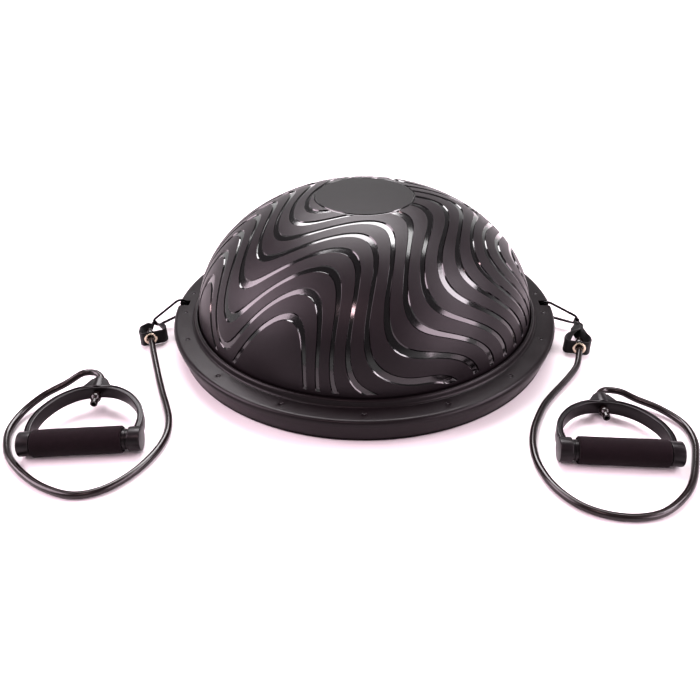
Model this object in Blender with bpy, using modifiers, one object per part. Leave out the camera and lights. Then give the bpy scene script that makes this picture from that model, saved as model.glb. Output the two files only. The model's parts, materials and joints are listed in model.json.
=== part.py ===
"""Balance dome trainer: a half ball on a flat round base, with two pull bands.

Metres, +Z up. The origin is the centre of the base's underside, on the floor.
+X points to the right-hand band and -Y to the user, where both handles lie.
"""
import math

import bmesh
import bpy
from mathutils import Matrix, Vector

# ---------------------------------------------------------------- driving dimensions
GAP = 0.0003                     # between two pieces that touch
TURN_STEPS = 40                  # segments round the base and the dome
SMALL_STEPS = 12                 # segments round small turned pieces
MERGE = 0.00002

RIM_RADIUS = 0.2900              # widest radius, just under the ring's rounded top edge
RIM_FOOT_RADIUS = 0.2815         # the same wall at its lower edge
RING_TOP = 0.0365
RING_WALL = 0.0030
SKIRT_BOTTOM = 0.0031
SEAT_INNER = 0.2490              # the low wall that carries the dome's flange
SEAT_OUTER = 0.2600
SEAT_TOP = 0.0275
BOSS_INNER = 0.2685              # the low wall that the screws run up through
BOSS_OUTER = 0.2765
PLATE_TOP = 0.0050
PLATE_BOTTOM = 0.0010
PAD_TOP = 0.0022
PAD_RECESS = 0.0025
CENTRE_PAD_RADIUS = 0.0500
GRIP_RING_INNER = 0.2400
GRIP_RING_OUTER = 0.2620

DOME_RADIUS = 0.2520
DOME_WIDEST = 0.0400             # height of the dome's widest circle
DOME_RISE = 0.1810               # from that circle to the top
DOME_WALL = 0.0025
DISC_RADIUS = 0.0698             # of the flatter disc at the dome's top
DISC_RISE = 0.0018               # of its middle above its edge

SCREW_CIRCLE = 0.2735
SCREW_BESIDE_NOTCH = 6.2         # degrees from the notch to the screws on each side of it
SCREW_PITCH = 22.5
SCREW_HEAD_RADIUS = 0.0027
SCREW_SHANK_RADIUS = 0.0017

VALVE_PLACE = (0.0, 0.1450)
VALVE_BODY_RADIUS = 0.0125
PLUG_STEM_RADIUS = 0.0042
PLUG_HEAD_RADIUS = 0.0080

NOTCH_INNER = 0.2725             # the two notches that the clips hook into
NOTCH_HALF_WIDTH = 0.0070
NOTCH_FLOOR = 0.0060
CHEEK_HALF_WIDTH = 0.0115
ANCHOR_RADIUS = 0.2810           # the steel bar across each notch
ANCHOR_HEIGHT = 0.0285
ANCHOR_BAR_RADIUS = 0.0025
ANCHOR_HALF_LENGTH = 0.0105

WIRE_RADIUS = 0.0018             # snap clip
CLIP_WIDE_RADIUS = 0.0120        # centre line of the wire at the hook end
CLIP_NARROW_RADIUS = 0.0068      # and at the strap end
CLIP_CENTRES = 0.0400            # between the two end arcs' centres
GATE_RADIUS = 0.0020
GATE_PIN_RADIUS = 0.0008
GATE_FORK_HALF = 0.0012

STRAP_THICKNESS = 0.0016
STRAP_WIDTH = 0.0220
GROMMET_FLANGE_RADIUS = 0.0096
GROMMET_BARREL_RADIUS = 0.0062
HOSE_BORE_RADIUS = 0.0050        # of everything that the hose runs through

HOSE_RADIUS = 0.0045
BALL_RADIUS = 0.0068             # the swelling over the plug in each end of the hose
TAIL_LENGTH = 0.0075

GRIP_HALF_LENGTH = 0.0720        # to the outer faces of the handle's end cups
CUP_LENGTH = 0.0150
CUP_RADIUS = 0.0150
SOCKET_DEPTH = 0.0085
JOURNAL_RADIUS = 0.0090
CORE_RADIUS = 0.0125
CORE_BORE_RADIUS = 0.0068
FOAM_RADIUS = 0.0170
FOAM_LENGTH = 0.1060
ARM_HALF_THICKNESS = 0.00375
ARM_HALF_DEPTH = 0.0090
BOSS_END = 0.1060                # the mouth where the hose leaves the handle's yoke
ARM_INNER_FACE = 0.0843

# Centre line of half the yoke's arm, from the cup to the apex, along and away from the grip.
ARM_LINE = ((0.0645, 0.0060), (0.0662, 0.0250), (0.0628, 0.0430), (0.0545, 0.0590),
            (0.0425, 0.0728), (0.0270, 0.0828), (0.0120, 0.0872), (0.0, 0.0880))

# Where each handle lies: grip centre, heading of the grip and lift of the boss, in degrees.
HANDLES = {
    "left": {"centre": (-0.3415, -0.3007, 0.0172), "heading": 4.3, "lift": 6.0, "foam_shift": -0.0033},
    "right": {"centre": (0.3022, -0.3192, 0.0172), "heading": -3.4, "lift": -1.0, "foam_shift": 0.0033},
}

# How each clip hangs from its bar: droop below level and place of the hook arc's centre
# relative to the bar, along the clip, across it and sideways.
CLIPS = {
    "left": {"side": -1, "droop": 24.0, "offset": (0.0055, 0.0045, 0.0010)},
    "right": {"side": 1, "droop": 11.0, "offset": (0.0070, -0.0010, 0.0015)},
}
CLIP_YAW = 25.0                  # the clips lean forward, towards the handles

# Each band's eyelet: its centre, the heading in which the hose leaves it, and the strap's
# outline round it as (across, back) from the eyelet. The first point is beside the clip.
STRAPS = {
    "left": {
        "eyelet": (-0.3205, -0.0635, 0.0117), "heading": -70.0, "lean": -30.0,
        "outline": ((0.0150, 0.0360), (0.0195, 0.0270), (0.0235, 0.0170), (0.0240, 0.0075), (0.0190, 0.0008),
                    (0.0120, 0.0), (0.0060, 0.0), (0.0, 0.0), (-0.0060, 0.0), (-0.0112, 0.0),
                    (-0.0146, 0.0065), (-0.0125, 0.0160), (-0.0065, 0.0270), (0.0045, 0.0360)),
    },
    "right": {
        "eyelet": (0.3155, -0.0895, 0.0117), "heading": -104.0, "lean": 50.0,
        "outline": ((-0.0008, 0.0560), (-0.0008, 0.0400), (0.0065, 0.0270), (0.0140, 0.0160), (0.0155, 0.0070),
                    (0.0120, 0.0008), (0.0060, 0.0), (0.0, 0.0), (-0.0060, 0.0), (-0.0120, 0.0),
                    (-0.0185, 0.0010), (-0.0215, 0.0070), (-0.0190, 0.0160), (-0.0110, 0.0270), (-0.0058, 0.0400),
                    (-0.0058, 0.0560)),
    },
}

# Each hose on the floor, from the eyelet round to the handle's mouth, then its sharp turn into
# the mouth as (along the grip, away from it) in the handle's own plane.
HOSES = {
    "left": {
        "floor": ((-0.3060, -0.1030, 0.0098), (-0.2960, -0.1300, 0.0078),
                  (-0.2850, -0.1590, 0.0058), (-0.2730, -0.1890, 0.0048), (-0.2610, -0.2170, 0.0047),
                  (-0.2510, -0.2450, 0.0047), (-0.2470, -0.2750, 0.0047), (-0.2530, -0.3080, 0.0047),
                  (-0.2700, -0.3420, 0.0047), (-0.2960, -0.3680, 0.0047), (-0.3280, -0.3770, 0.0047),
                  (-0.3650, -0.3650, 0.0047), (-0.3990, -0.3420, 0.0047), (-0.4270, -0.3130, 0.0047),
                  (-0.4420, -0.2840, 0.0047), (-0.4470, -0.2600, 0.0052), (-0.4420, -0.2320, 0.0078),
                  (-0.4245, -0.2075, 0.0145), (-0.3990, -0.1910, 0.0220)),
        "turn": ((-0.0300, 0.1235), (-0.0200, 0.1262), (-0.0105, 0.1240), (-0.0030, 0.1165), (0.0, 0.1070)),
    },
    "right": {
        "floor": ((0.3020, -0.1300, 0.0088), (0.2860, -0.1530, 0.0064),
                  (0.2700, -0.1725, 0.0050), (0.2540, -0.1920, 0.0047), (0.2380, -0.2140, 0.0047),
                  (0.2240, -0.2400, 0.0047), (0.2130, -0.2660, 0.0047), (0.2060, -0.2960, 0.0047),
                  (0.2060, -0.3290, 0.0047), (0.2160, -0.3630, 0.0047), (0.2360, -0.3900, 0.0047),
                  (0.2620, -0.4050, 0.0047), (0.2930, -0.4100, 0.0047), (0.3240, -0.4040, 0.0047),
                  (0.3520, -0.3850, 0.0047), (0.3750, -0.3590, 0.0047), (0.3940, -0.3220, 0.0047),
                  (0.4070, -0.2850, 0.0048), (0.4050, -0.2530, 0.0056), (0.3850, -0.2270, 0.0080),
                  (0.3590, -0.2100, 0.0108)),
        "turn": ((0.0330, 0.1205), (0.0210, 0.1240), (0.0105, 0.1235), (0.0030, 0.1165), (0.0, 0.1070)),
    },
}
HOSE_POINT_SPACING = 0.0130
HOSE_START_BACK = 0.0030         # the hose's first end, behind the eyelet

COLOURS = {                      # red, green, blue, roughness, metallic
    "dome_pvc": (0.030, 0.027, 0.029, 0.45, 0.0),
    "base_plastic": (0.022, 0.023, 0.022, 0.50, 0.0),
    "grip_rubber": (0.020, 0.020, 0.020, 0.80, 0.0),
    "screw_steel": (0.450, 0.450, 0.460, 0.35, 1.0),
    "clip_steel": (0.050, 0.050, 0.052, 0.35, 1.0),
    "strap_webbing": (0.012, 0.012, 0.013, 0.90, 0.0),
    "eyelet_metal": (0.600, 0.520, 0.400, 0.30, 1.0),
    "hose_rubber": (0.020, 0.017, 0.018, 0.25, 0.0),
    "yoke_plastic": (0.024, 0.022, 0.024, 0.45, 0.0),
    "grip_foam": (0.018, 0.015, 0.017, 0.90, 0.0),
}


# ---------------------------------------------------------------- shared tools
def clear_scene():
    for obj in list(bpy.data.objects):
        bpy.data.objects.remove(obj, do_unlink=True)


def new_collection(name):
    collection = bpy.data.collections.new(name)
    bpy.context.scene.collection.children.link(collection)
    return collection


def make_materials():
    materials = {}
    for name, (red, green, blue, roughness, metallic) in COLOURS.items():
        material = bpy.data.materials.new(name)
        material.use_nodes = True
        shader = material.node_tree.nodes["Principled BSDF"]
        shader.inputs["Base Color"].default_value = (red, green, blue, 1.0)
        shader.inputs["Roughness"].default_value = roughness
        shader.inputs["Metallic"].default_value = metallic
        material.diffuse_color = (red, green, blue, 1.0)
        materials[name] = material
    return materials


clear_scene()
PARTS = new_collection("balance_dome_trainer")
CUTTERS = new_collection("cutters")
MATERIALS = make_materials()


def place(obj, material=None, parent=None, matrix=None):
    """Put a new object in its collection: a part if it has a material, else a cutter."""
    if material:
        PARTS.objects.link(obj)
        obj.data.materials.append(MATERIALS[material])
    else:
        CUTTERS.objects.link(obj)
        obj.hide_render = True
        obj.display_type = "WIRE"
    obj.parent = parent
    if matrix is not None:
        obj.matrix_local = matrix
    return obj


def frame_empty(name, matrix):
    empty = bpy.data.objects.new(name, None)
    PARTS.objects.link(empty)
    empty.matrix_world = matrix
    empty.empty_display_size = 0.02
    bpy.context.view_layer.update()
    return empty


def frame_matrix(origin, x_axis, y_axis):
    z_axis = x_axis.cross(y_axis)
    rotation = Matrix((x_axis, y_axis, z_axis)).transposed()
    return Matrix.Translation(origin) @ rotation.to_4x4()


def along(axis, offset=(0.0, 0.0, 0.0)):
    """Matrix that turns a piece's own Z to the parent's X, Y or Z and moves it by offset."""
    turns = {"X": Matrix.Rotation(math.pi / 2, 4, "Y"), "Y": Matrix.Rotation(-math.pi / 2, 4, "X"), "Z": Matrix()}
    return Matrix.Translation(offset) @ turns[axis]


def turned(name, profile, material=None, steps=SMALL_STEPS, closed=False, parent=None, matrix=None):
    """Turn (radius, height) points, listed down the outer side, about the object's own Z."""
    mesh = bpy.data.meshes.new(name)
    points = [(radius, 0.0, height) for radius, height in profile]
    edges = [(i, i + 1) for i in range(len(points) - 1)]
    if closed:
        edges.append((len(points) - 1, 0))
    mesh.from_pydata(points, edges, [])
    obj = place(bpy.data.objects.new(name, mesh), material, parent, matrix)
    screw = obj.modifiers.new("turn", "SCREW")
    screw.steps = steps
    screw.render_steps = steps
    screw.use_merge_vertices = True
    screw.merge_threshold = MERGE
    screw.use_smooth_shade = True
    return obj


def solid_mesh(name, build, material=None, parent=None, matrix=None):
    """Make an object from a bmesh that the function build fills."""
    mesh = bpy.data.meshes.new(name)
    bm = bmesh.new()
    build(bm)
    bmesh.ops.recalc_face_normals(bm, faces=bm.faces)
    bm.to_mesh(mesh)
    bm.free()
    return place(bpy.data.objects.new(name, mesh), material, parent, matrix)


def box(name, low, high, material=None, parent=None, matrix=None):
    def build(bm):
        bmesh.ops.create_cube(bm, size=1.0)
        for vert in bm.verts:
            vert.co = Vector((low[i] + (vert.co[i] + 0.5) * (high[i] - low[i]) for i in range(3)))
    return solid_mesh(name, build, material, parent, matrix)


def rod(name, radius, start, end, sides=SMALL_STEPS, axis="Z", material=None, parent=None, end_radius=None):
    """A round bar or cone on the parent's X, Y or Z through the point start, as far as end along it."""
    index = "XYZ".index(axis)
    length = end[index] - start[index]
    middle = [(start[i] + end[i]) / 2 for i in range(3)]

    def build(bm):
        bmesh.ops.create_cone(bm, cap_ends=True, segments=sides, radius1=radius,
                              radius2=radius if end_radius is None else end_radius, depth=length)
    obj = solid_mesh(name, build, material, parent, along(axis, middle))
    obj.data.shade_smooth()
    obj.data.set_sharp_from_angle(angle=math.radians(40))
    return obj


def boolean(target, cutter, operation="DIFFERENCE"):
    modifier = target.modifiers.new(operation.lower(), "BOOLEAN")
    modifier.operation = operation
    modifier.solver = "EXACT"
    modifier.object = cutter


def smooth_line(points, spacing):
    """Points at even spacing on the smooth curve through the given points."""
    points = [Vector(point) for point in points]
    dense = []
    for i, (start, end) in enumerate(zip(points, points[1:])):
        before = points[i - 1] if i > 0 else 2 * start - end
        after = points[i + 2] if i + 2 < len(points) else 2 * end - start
        for step in range(24):
            t = step / 24
            dense.append(0.5 * (2 * start + (end - before) * t
                                + (2 * before - 5 * start + 4 * end - after) * t * t
                                + (3 * start - before - 3 * end + after) * t ** 3))
    dense.append(points[-1].copy())
    lengths = [(b - a).length for a, b in zip(dense, dense[1:])]
    total = sum(lengths)
    pieces = max(2, round(total / spacing))
    result = []
    reached = 0.0
    index = 0
    for step in range(pieces + 1):
        target = total * step / pieces
        while index < len(lengths) - 1 and reached + lengths[index] < target:
            reached += lengths[index]
            index += 1
        share = min(1.0, (target - reached) / lengths[index])
        result.append(dense[index].lerp(dense[index + 1], share))
    return result


def tube(name, points, radius, resolution, material, parent=None):
    """A round bar along a line, as a curve with filled ends."""
    curve = bpy.data.curves.new(name, "CURVE")
    curve.dimensions = "3D"
    curve.bevel_depth = radius
    curve.bevel_resolution = resolution
    curve.use_fill_caps = True
    spline = curve.splines.new("POLY")
    spline.points.add(len(points) - 1)
    for target, point in zip(spline.points, points):
        target.co = (*point, 1.0)
    return place(bpy.data.objects.new(name, curve), material, parent)


def as_mesh(obj):
    """Replace a curve object by its mesh, with the caps welded on."""
    bpy.context.view_layer.update()
    evaluated = obj.evaluated_get(bpy.context.evaluated_depsgraph_get())
    mesh = bpy.data.meshes.new_from_object(evaluated)
    bm = bmesh.new()
    bm.from_mesh(mesh)
    bmesh.ops.remove_doubles(bm, verts=bm.verts, dist=MERGE)
    bmesh.ops.recalc_face_normals(bm, faces=bm.faces)
    bm.to_mesh(mesh)
    bm.free()
    name, parent, world = obj.name, obj.parent, obj.matrix_world.copy()
    collection = obj.users_collection[0]
    bpy.data.objects.remove(obj, do_unlink=True)
    result = bpy.data.objects.new(name, mesh)
    collection.objects.link(result)
    if collection == CUTTERS:
        result.hide_render = True
        result.display_type = "WIRE"
    result.parent = parent
    result.matrix_world = world
    return result


def plate(name, outline, half_thickness, material=None, parent=None):
    """A flat outline of (x, y) points made into a plate about the parent's XY plane."""
    curve = bpy.data.curves.new(name, "CURVE")
    curve.dimensions = "2D"
    curve.fill_mode = "BOTH"
    curve.extrude = half_thickness
    spline = curve.splines.new("POLY")
    spline.points.add(len(outline) - 1)
    for target, point in zip(spline.points, outline):
        target.co = (point[0], point[1], 0.0, 1.0)
    spline.use_cyclic_u = True
    return as_mesh(place(bpy.data.objects.new(name, curve), material, parent))


# ---------------------------------------------------------------- base and dome
def dome_line(wall, pieces):
    """Quarter of the dome's outline at a depth in its wall: the disc, then down to the widest circle."""
    radius, rise = DOME_RADIUS - wall, DOME_RISE - wall
    first = math.asin(DISC_RADIUS / radius)
    angles = [first + (math.pi / 2 - first) * step / pieces for step in range(pieces + 1)]
    edge = DOME_WIDEST + rise * math.cos(first)
    disc = [(0.0, edge + DISC_RISE), (DISC_RADIUS / 2, edge + 0.75 * DISC_RISE)]
    return disc + [(radius * math.sin(angle), DOME_WIDEST + rise * math.cos(angle)) for angle in angles]


def make_dome():
    flange = [(DOME_RADIUS - 0.0006, 0.0303), (SEAT_OUTER - 0.0004, 0.0303), (SEAT_OUTER - 0.0004, 0.0278),
              (DOME_RADIUS - DOME_WALL - 0.0016, 0.0278)]
    outline = dome_line(0.0, 9) + flange + dome_line(DOME_WALL, 6)[::-1]
    return turned("dome_shell", outline, "dome_pvc", TURN_STEPS)


def make_top_ring():
    under_top = RING_TOP - RING_WALL
    boss_foot = SEAT_TOP + GAP
    profile = [(0.2528, 0.0425), (0.2545, 0.0450), (0.2568, 0.0452), (0.2590, 0.0428), (0.2604, 0.0385),
               (0.2625, RING_TOP), (0.2855, RING_TOP), (0.2886, 0.0352), (RIM_RADIUS, 0.0318),
               (RIM_FOOT_RADIUS, SKIRT_BOTTOM), (RIM_FOOT_RADIUS - RING_WALL, SKIRT_BOTTOM), (0.2860, 0.0300),
               (0.2835, under_top), (BOSS_OUTER, under_top), (BOSS_OUTER, boss_foot), (BOSS_INNER, boss_foot),
               (BOSS_INNER, under_top), (0.2635, under_top), (0.2630, 0.0306), (0.2524, 0.0306)]
    ring = turned("top_ring", profile, "base_plastic", TURN_STEPS, closed=True)
    for side, sign in (("left", -1), ("right", 1)):
        cheek = box(f"cheek_{side}", (min(sign * 0.2770, sign * 0.2840), -CHEEK_HALF_WIDTH, 0.0180),
                    (max(sign * 0.2770, sign * 0.2840), CHEEK_HALF_WIDTH, 0.0345))
        boolean(ring, cheek, "UNION")
    for side, sign in (("left", -1), ("right", 1)):
        boolean(ring, notch_cutter(side, sign))
        bar_hole = rod(f"bar_hole_{side}", ANCHOR_BAR_RADIUS + GAP, (sign * ANCHOR_RADIUS, -0.02, ANCHOR_HEIGHT),
                       (sign * ANCHOR_RADIUS, 0.02, ANCHOR_HEIGHT), axis="Y")
        boolean(ring, bar_hole)
    boolean(ring, screw_holes("ring_screw_holes", SCREW_SHANK_RADIUS + GAP, 0.0200, 0.0338))
    return ring


def notch_cutter(side, sign):
    near, far = sign * NOTCH_INNER, sign * 0.2960
    return box(f"notch_{side}", (min(near, far), -NOTCH_HALF_WIDTH, NOTCH_FLOOR),
               (max(near, far), NOTCH_HALF_WIDTH, 0.0500))


def screw_angles():
    """Screws stand at even pitch, with a close pair in place of the one at each notch."""
    angles = [SCREW_PITCH * step for step in range(16) if step % 8]
    for notch in (0.0, 180.0):
        angles += [notch - SCREW_BESIDE_NOTCH, notch + SCREW_BESIDE_NOTCH]
    return sorted(angle % 360.0 for angle in angles)


def screw_matrix(angle, height):
    """Frame on a screw's axis, turned a little so that no facet lies along the rings' own facets."""
    radians = math.radians(angle)
    middle = (SCREW_CIRCLE * math.cos(radians), SCREW_CIRCLE * math.sin(radians), height)
    return Matrix.Translation(middle) @ Matrix.Rotation(radians + 0.2, 4, "Z")


def screw_holes(name, radius, low, high):
    def build(bm):
        for angle in screw_angles():
            bmesh.ops.create_cone(bm, cap_ends=True, segments=8, radius1=radius, radius2=radius,
                                  depth=high - low, matrix=screw_matrix(angle, (low + high) / 2))
    return solid_mesh(name, build)


def make_base_pan():
    profile = [(0.0, PLATE_TOP), (SEAT_INNER, PLATE_TOP), (SEAT_INNER, SEAT_TOP), (SEAT_OUTER, SEAT_TOP),
               (SEAT_OUTER, PLATE_TOP), (BOSS_INNER, PLATE_TOP), (BOSS_INNER, SEAT_TOP), (BOSS_OUTER, SEAT_TOP),
               (BOSS_OUTER, SKIRT_BOTTOM - GAP), (RIM_FOOT_RADIUS, SKIRT_BOTTOM - GAP),
               (RIM_FOOT_RADIUS - 0.0006, PLATE_BOTTOM), (GRIP_RING_OUTER + GAP, PLATE_BOTTOM),
               (GRIP_RING_OUTER + GAP, PAD_RECESS), (GRIP_RING_INNER - GAP, PAD_RECESS),
               (GRIP_RING_INNER - GAP, PLATE_BOTTOM), (CENTRE_PAD_RADIUS + GAP, PLATE_BOTTOM),
               (CENTRE_PAD_RADIUS + GAP, PAD_RECESS), (0.0, PAD_RECESS)]
    pan = turned("base_pan", profile, "base_plastic", TURN_STEPS)
    for side, sign in (("left", -1), ("right", 1)):
        clearance = box(f"pan_notch_{side}", (min(sign * 0.2718, sign * 0.2790), -0.0078, PLATE_TOP + GAP),
                        (max(sign * 0.2718, sign * 0.2790), 0.0078, 0.0320))
        boolean(pan, clearance)
    boolean(pan, screw_holes("pan_head_holes", SCREW_HEAD_RADIUS + GAP, -0.0050, 0.0040))
    boolean(pan, screw_holes("pan_screw_holes", SCREW_SHANK_RADIUS + GAP, 0.0025, 0.0400))
    valve_hole = rod("valve_hole", VALVE_BODY_RADIUS + GAP, (*VALVE_PLACE, -0.01), (*VALVE_PLACE, 0.01), sides=16)
    boolean(pan, valve_hole)
    return pan


def make_screws():
    head = SCREW_HEAD_RADIUS
    shank = SCREW_SHANK_RADIUS
    profile = [(0.0, 0.0330), (shank * 0.7, 0.0330), (shank, 0.0315), (shank, 0.0037), (head, 0.0037),
               (head, 0.0018), (0.0, 0.0015)]
    for number, angle in enumerate(screw_angles(), start=1):
        turned(f"clamp_screw_{number:02d}", profile, "screw_steel", 8, matrix=screw_matrix(angle, 0.0))


def make_underside_pads():
    turned("centre_pad", [(0.0, PAD_TOP), (CENTRE_PAD_RADIUS, PAD_TOP), (CENTRE_PAD_RADIUS, 0.0), (0.0, 0.0)],
           "grip_rubber", 32)
    turned("grip_ring", [(GRIP_RING_INNER, PAD_TOP), (GRIP_RING_OUTER, PAD_TOP), (GRIP_RING_OUTER, 0.0),
                         (GRIP_RING_INNER, 0.0)], "grip_rubber", TURN_STEPS, closed=True)


def make_valve():
    """The filling hole's rubber seat through the base, and the plug pushed into it from below."""
    body = VALVE_BODY_RADIUS
    bore = PLUG_STEM_RADIUS + GAP
    recess = PLUG_HEAD_RADIUS + 0.0006
    seat = [(0.0150, 0.0075), (0.0165, 0.0068), (0.0165, 0.0053), (body, 0.0053), (body, 0.0012),
            (recess, 0.0012), (recess, 0.0036), (bore, 0.0036), (bore, 0.0115), (0.0070, 0.0115), (0.0090, 0.0075)]
    matrix = Matrix.Translation((*VALVE_PLACE, 0.0))
    turned("valve_seat", seat, "grip_rubber", 16, closed=True, matrix=matrix)
    plug = [(0.0, 0.0125), (0.0022, 0.0125), (PLUG_STEM_RADIUS, 0.0100), (PLUG_STEM_RADIUS, 0.0033),
            (PLUG_HEAD_RADIUS, 0.0033), (PLUG_HEAD_RADIUS, 0.0018), (0.0068, 0.0012), (0.0, 0.0012)]
    turned("valve_plug", plug, "grip_rubber", 16, matrix=matrix)


# ---------------------------------------------------------------- clips
def clip_matrix(side):
    """Frame at the hook arc's centre: X along the clip to its strap end, Y across it, upwards."""
    clip = CLIPS[side]
    droop = math.radians(clip["droop"])
    yaw = math.radians(CLIP_YAW)
    outward = clip["side"] * math.cos(yaw)
    x_axis = Vector((math.cos(droop) * outward, -math.cos(droop) * math.sin(yaw), -math.sin(droop)))
    y_axis = Vector((math.sin(droop) * outward, -math.sin(droop) * math.sin(yaw), math.cos(droop)))
    forward, across, sideways = clip["offset"]
    bar = Vector((clip["side"] * ANCHOR_RADIUS, 0.0, ANCHOR_HEIGHT))
    return frame_matrix(bar + forward * x_axis + across * y_axis + Vector((0.0, sideways, 0.0)), x_axis, y_axis)


def clip_tip(side):
    """The middle of the wire at the clip's strap end."""
    return clip_matrix(side) @ Vector((CLIP_CENTRES + CLIP_NARROW_RADIUS, 0.0, 0.0))


def clip_taper():
    return math.asin((CLIP_WIDE_RADIUS - CLIP_NARROW_RADIUS) / CLIP_CENTRES)


def lower_leg_point(distance):
    """A point of the lower leg's centre line, at a distance from where it leaves the hook arc."""
    taper = clip_taper()
    start = Vector((CLIP_WIDE_RADIUS * math.sin(taper), -CLIP_WIDE_RADIUS * math.cos(taper), 0.0))
    return start + distance * Vector((math.cos(taper), math.sin(taper), 0.0))


HINGE_DISTANCE = 0.0350          # of the gate's pin, along the lower leg


def arc(centre_x, radius, start, end, pieces):
    angles = [math.radians(start + (end - start) * step / pieces) for step in range(pieces + 1)]
    return [(centre_x + radius * math.cos(angle), radius * math.sin(angle), 0.0) for angle in angles]


def make_clip(side):
    """A snap clip of bent wire hooked round the anchor bar, with its gate on the lower leg."""
    frame = frame_empty(f"clip_frame_{side}", clip_matrix(side))
    taper = math.degrees(clip_taper())
    hinge = lower_leg_point(HINGE_DISTANCE)
    leg_turn = Matrix.Translation(hinge) @ Matrix.Rotation(clip_taper(), 4, "Z")
    wire = [lower_leg_point(HINGE_DISTANCE + 0.0033)]
    wire += arc(CLIP_CENTRES, CLIP_NARROW_RADIUS, taper - 90.0, 90.0 - taper, 8)
    wire += arc(0.0, CLIP_WIDE_RADIUS, 90.0 - taper, 262.0, 12)
    body = as_mesh(tube(f"clip_body_{side}", wire, WIRE_RADIUS, 2, "clip_steel", frame))
    tongue = box(f"tongue_{side}", (-0.0016, -0.0015, -0.0009), (0.0046, 0.0015, 0.0009), parent=frame,
                 matrix=leg_turn)
    boolean(body, tongue, "UNION")
    pin_hole = rod(f"gate_pin_hole_{side}", GATE_PIN_RADIUS + GAP, (*hinge[:2], -0.01), (*hinge[:2], 0.01),
                   sides=8, parent=frame)
    boolean(body, pin_hole)

    gate_frame = frame_empty(f"gate_frame_{side}", frame.matrix_world @ leg_turn)
    gate = rod(f"clip_gate_{side}", GATE_RADIUS, (-HINGE_DISTANCE - 0.0008, 0.0, 0.0), (0.0017, 0.0, 0.0),
               sides=10, axis="X", material="clip_steel", parent=gate_frame)
    fork = box(f"gate_fork_{side}", (-0.0026, -0.0100, -GATE_FORK_HALF), (0.0100, 0.0100, GATE_FORK_HALF),
               parent=gate_frame)
    boolean(gate, fork)
    boolean(gate, pin_hole)
    rod(f"gate_pin_{side}", GATE_PIN_RADIUS, (0.0, 0.0, -0.0019), (0.0, 0.0, 0.0019), sides=8,
        material="clip_steel", parent=gate_frame)


def make_anchor_bar(side):
    x = CLIPS[side]["side"] * ANCHOR_RADIUS
    rod(f"anchor_bar_{side}", ANCHOR_BAR_RADIUS, (x, -ANCHOR_HALF_LENGTH, ANCHOR_HEIGHT),
        (x, ANCHOR_HALF_LENGTH, ANCHOR_HEIGHT), axis="Y", material="clip_steel")


# ---------------------------------------------------------------- straps and eyelets
def eyelet_matrix(side):
    """Frame at the eyelet: X across the strap's front, Y back to the clip, Z up."""
    heading = math.radians(STRAPS[side]["heading"])
    away = Vector((math.cos(heading), math.sin(heading), 0.0))
    return frame_matrix(Vector(STRAPS[side]["eyelet"]), Vector((-away.y, away.x, 0.0)), -away)


def smooth_step(value, low, high):
    share = min(1.0, max(0.0, (value - low) / (high - low)))
    return share * share * (3.0 - 2.0 * share)


def make_strap(side):
    """A loop of webbing, gathered round the clip's wire and standing on edge round the eyelet."""
    frame = frame_empty(f"eyelet_frame_{side}", eyelet_matrix(side))
    tip = eyelet_matrix(side).inverted() @ clip_tip(side)
    reach = WIRE_RADIUS + 0.0004 + STRAP_THICKNESS / 2
    wire = (eyelet_matrix(side).inverted() @ clip_matrix(side)).to_3x3()
    along_wire = wire @ Vector((0.0, 1.0, 0.0))
    centre = tip - 0.0003 * (wire @ Vector((1.0, 0.0, 0.0)))
    across = (Vector((1.0, 0.0, 0.0)) - along_wire.x * along_wire).normalized()
    back = along_wire.cross(across)
    reach = WIRE_RADIUS + 0.0006 + STRAP_THICKNESS / 2
    turn_back = [centre + reach * (across * math.cos(math.radians(angle)) + back * math.sin(math.radians(angle)))
                 for angle in (180, 150, 120, 90, 60, 30, 0)]
    outline = [(x, y, tip.z * max(0.0, y / tip.y)) for x, y in STRAPS[side]["outline"]]
    line = turn_back + smooth_line(turn_back[-1:] + outline + turn_back[:1], 0.0037)[1:-1]
    lean = math.radians(STRAPS[side]["lean"])

    def build(bm):
        rings = []
        for i, point in enumerate(line):
            share = point.y / tip.y
            tangent = (line[(i + 1) % len(line)] - line[i - 1]).normalized()
            narrowing = smooth_step(share, 0.35, 0.75)
            gather = smooth_step(share, 0.74, 0.92)
            width = STRAP_WIDTH - 0.0060 * narrowing - 0.0106 * gather
            angle = lean * smooth_step(share, 0.30, 0.65)
            up = Vector((math.sin(angle), 0.0, math.cos(angle))).lerp(along_wire, gather)
            out = tangent.cross(up).normalized()
            up = out.cross(tangent)
            ring = [bm.verts.new(point + a * up * width / 2 + b * out * STRAP_THICKNESS / 2)
                    for a, b in ((1, 1), (1, -1), (-1, -1), (-1, 1))]
            rings.append(ring)
        for ring, following in zip(rings, rings[1:] + rings[:1]):
            for k in range(4):
                bm.faces.new((ring[k], ring[(k + 1) % 4], following[(k + 1) % 4], following[k]))
    strap = solid_mesh(f"strap_{side}", build, "strap_webbing", frame)
    hole = rod(f"eyelet_hole_{side}", GROMMET_BARREL_RADIUS + GAP, (0.0, -0.004, 0.0), (0.0, 0.004, 0.0),
               sides=16, axis="Y", parent=frame)
    boolean(strap, hole)
    return frame


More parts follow.
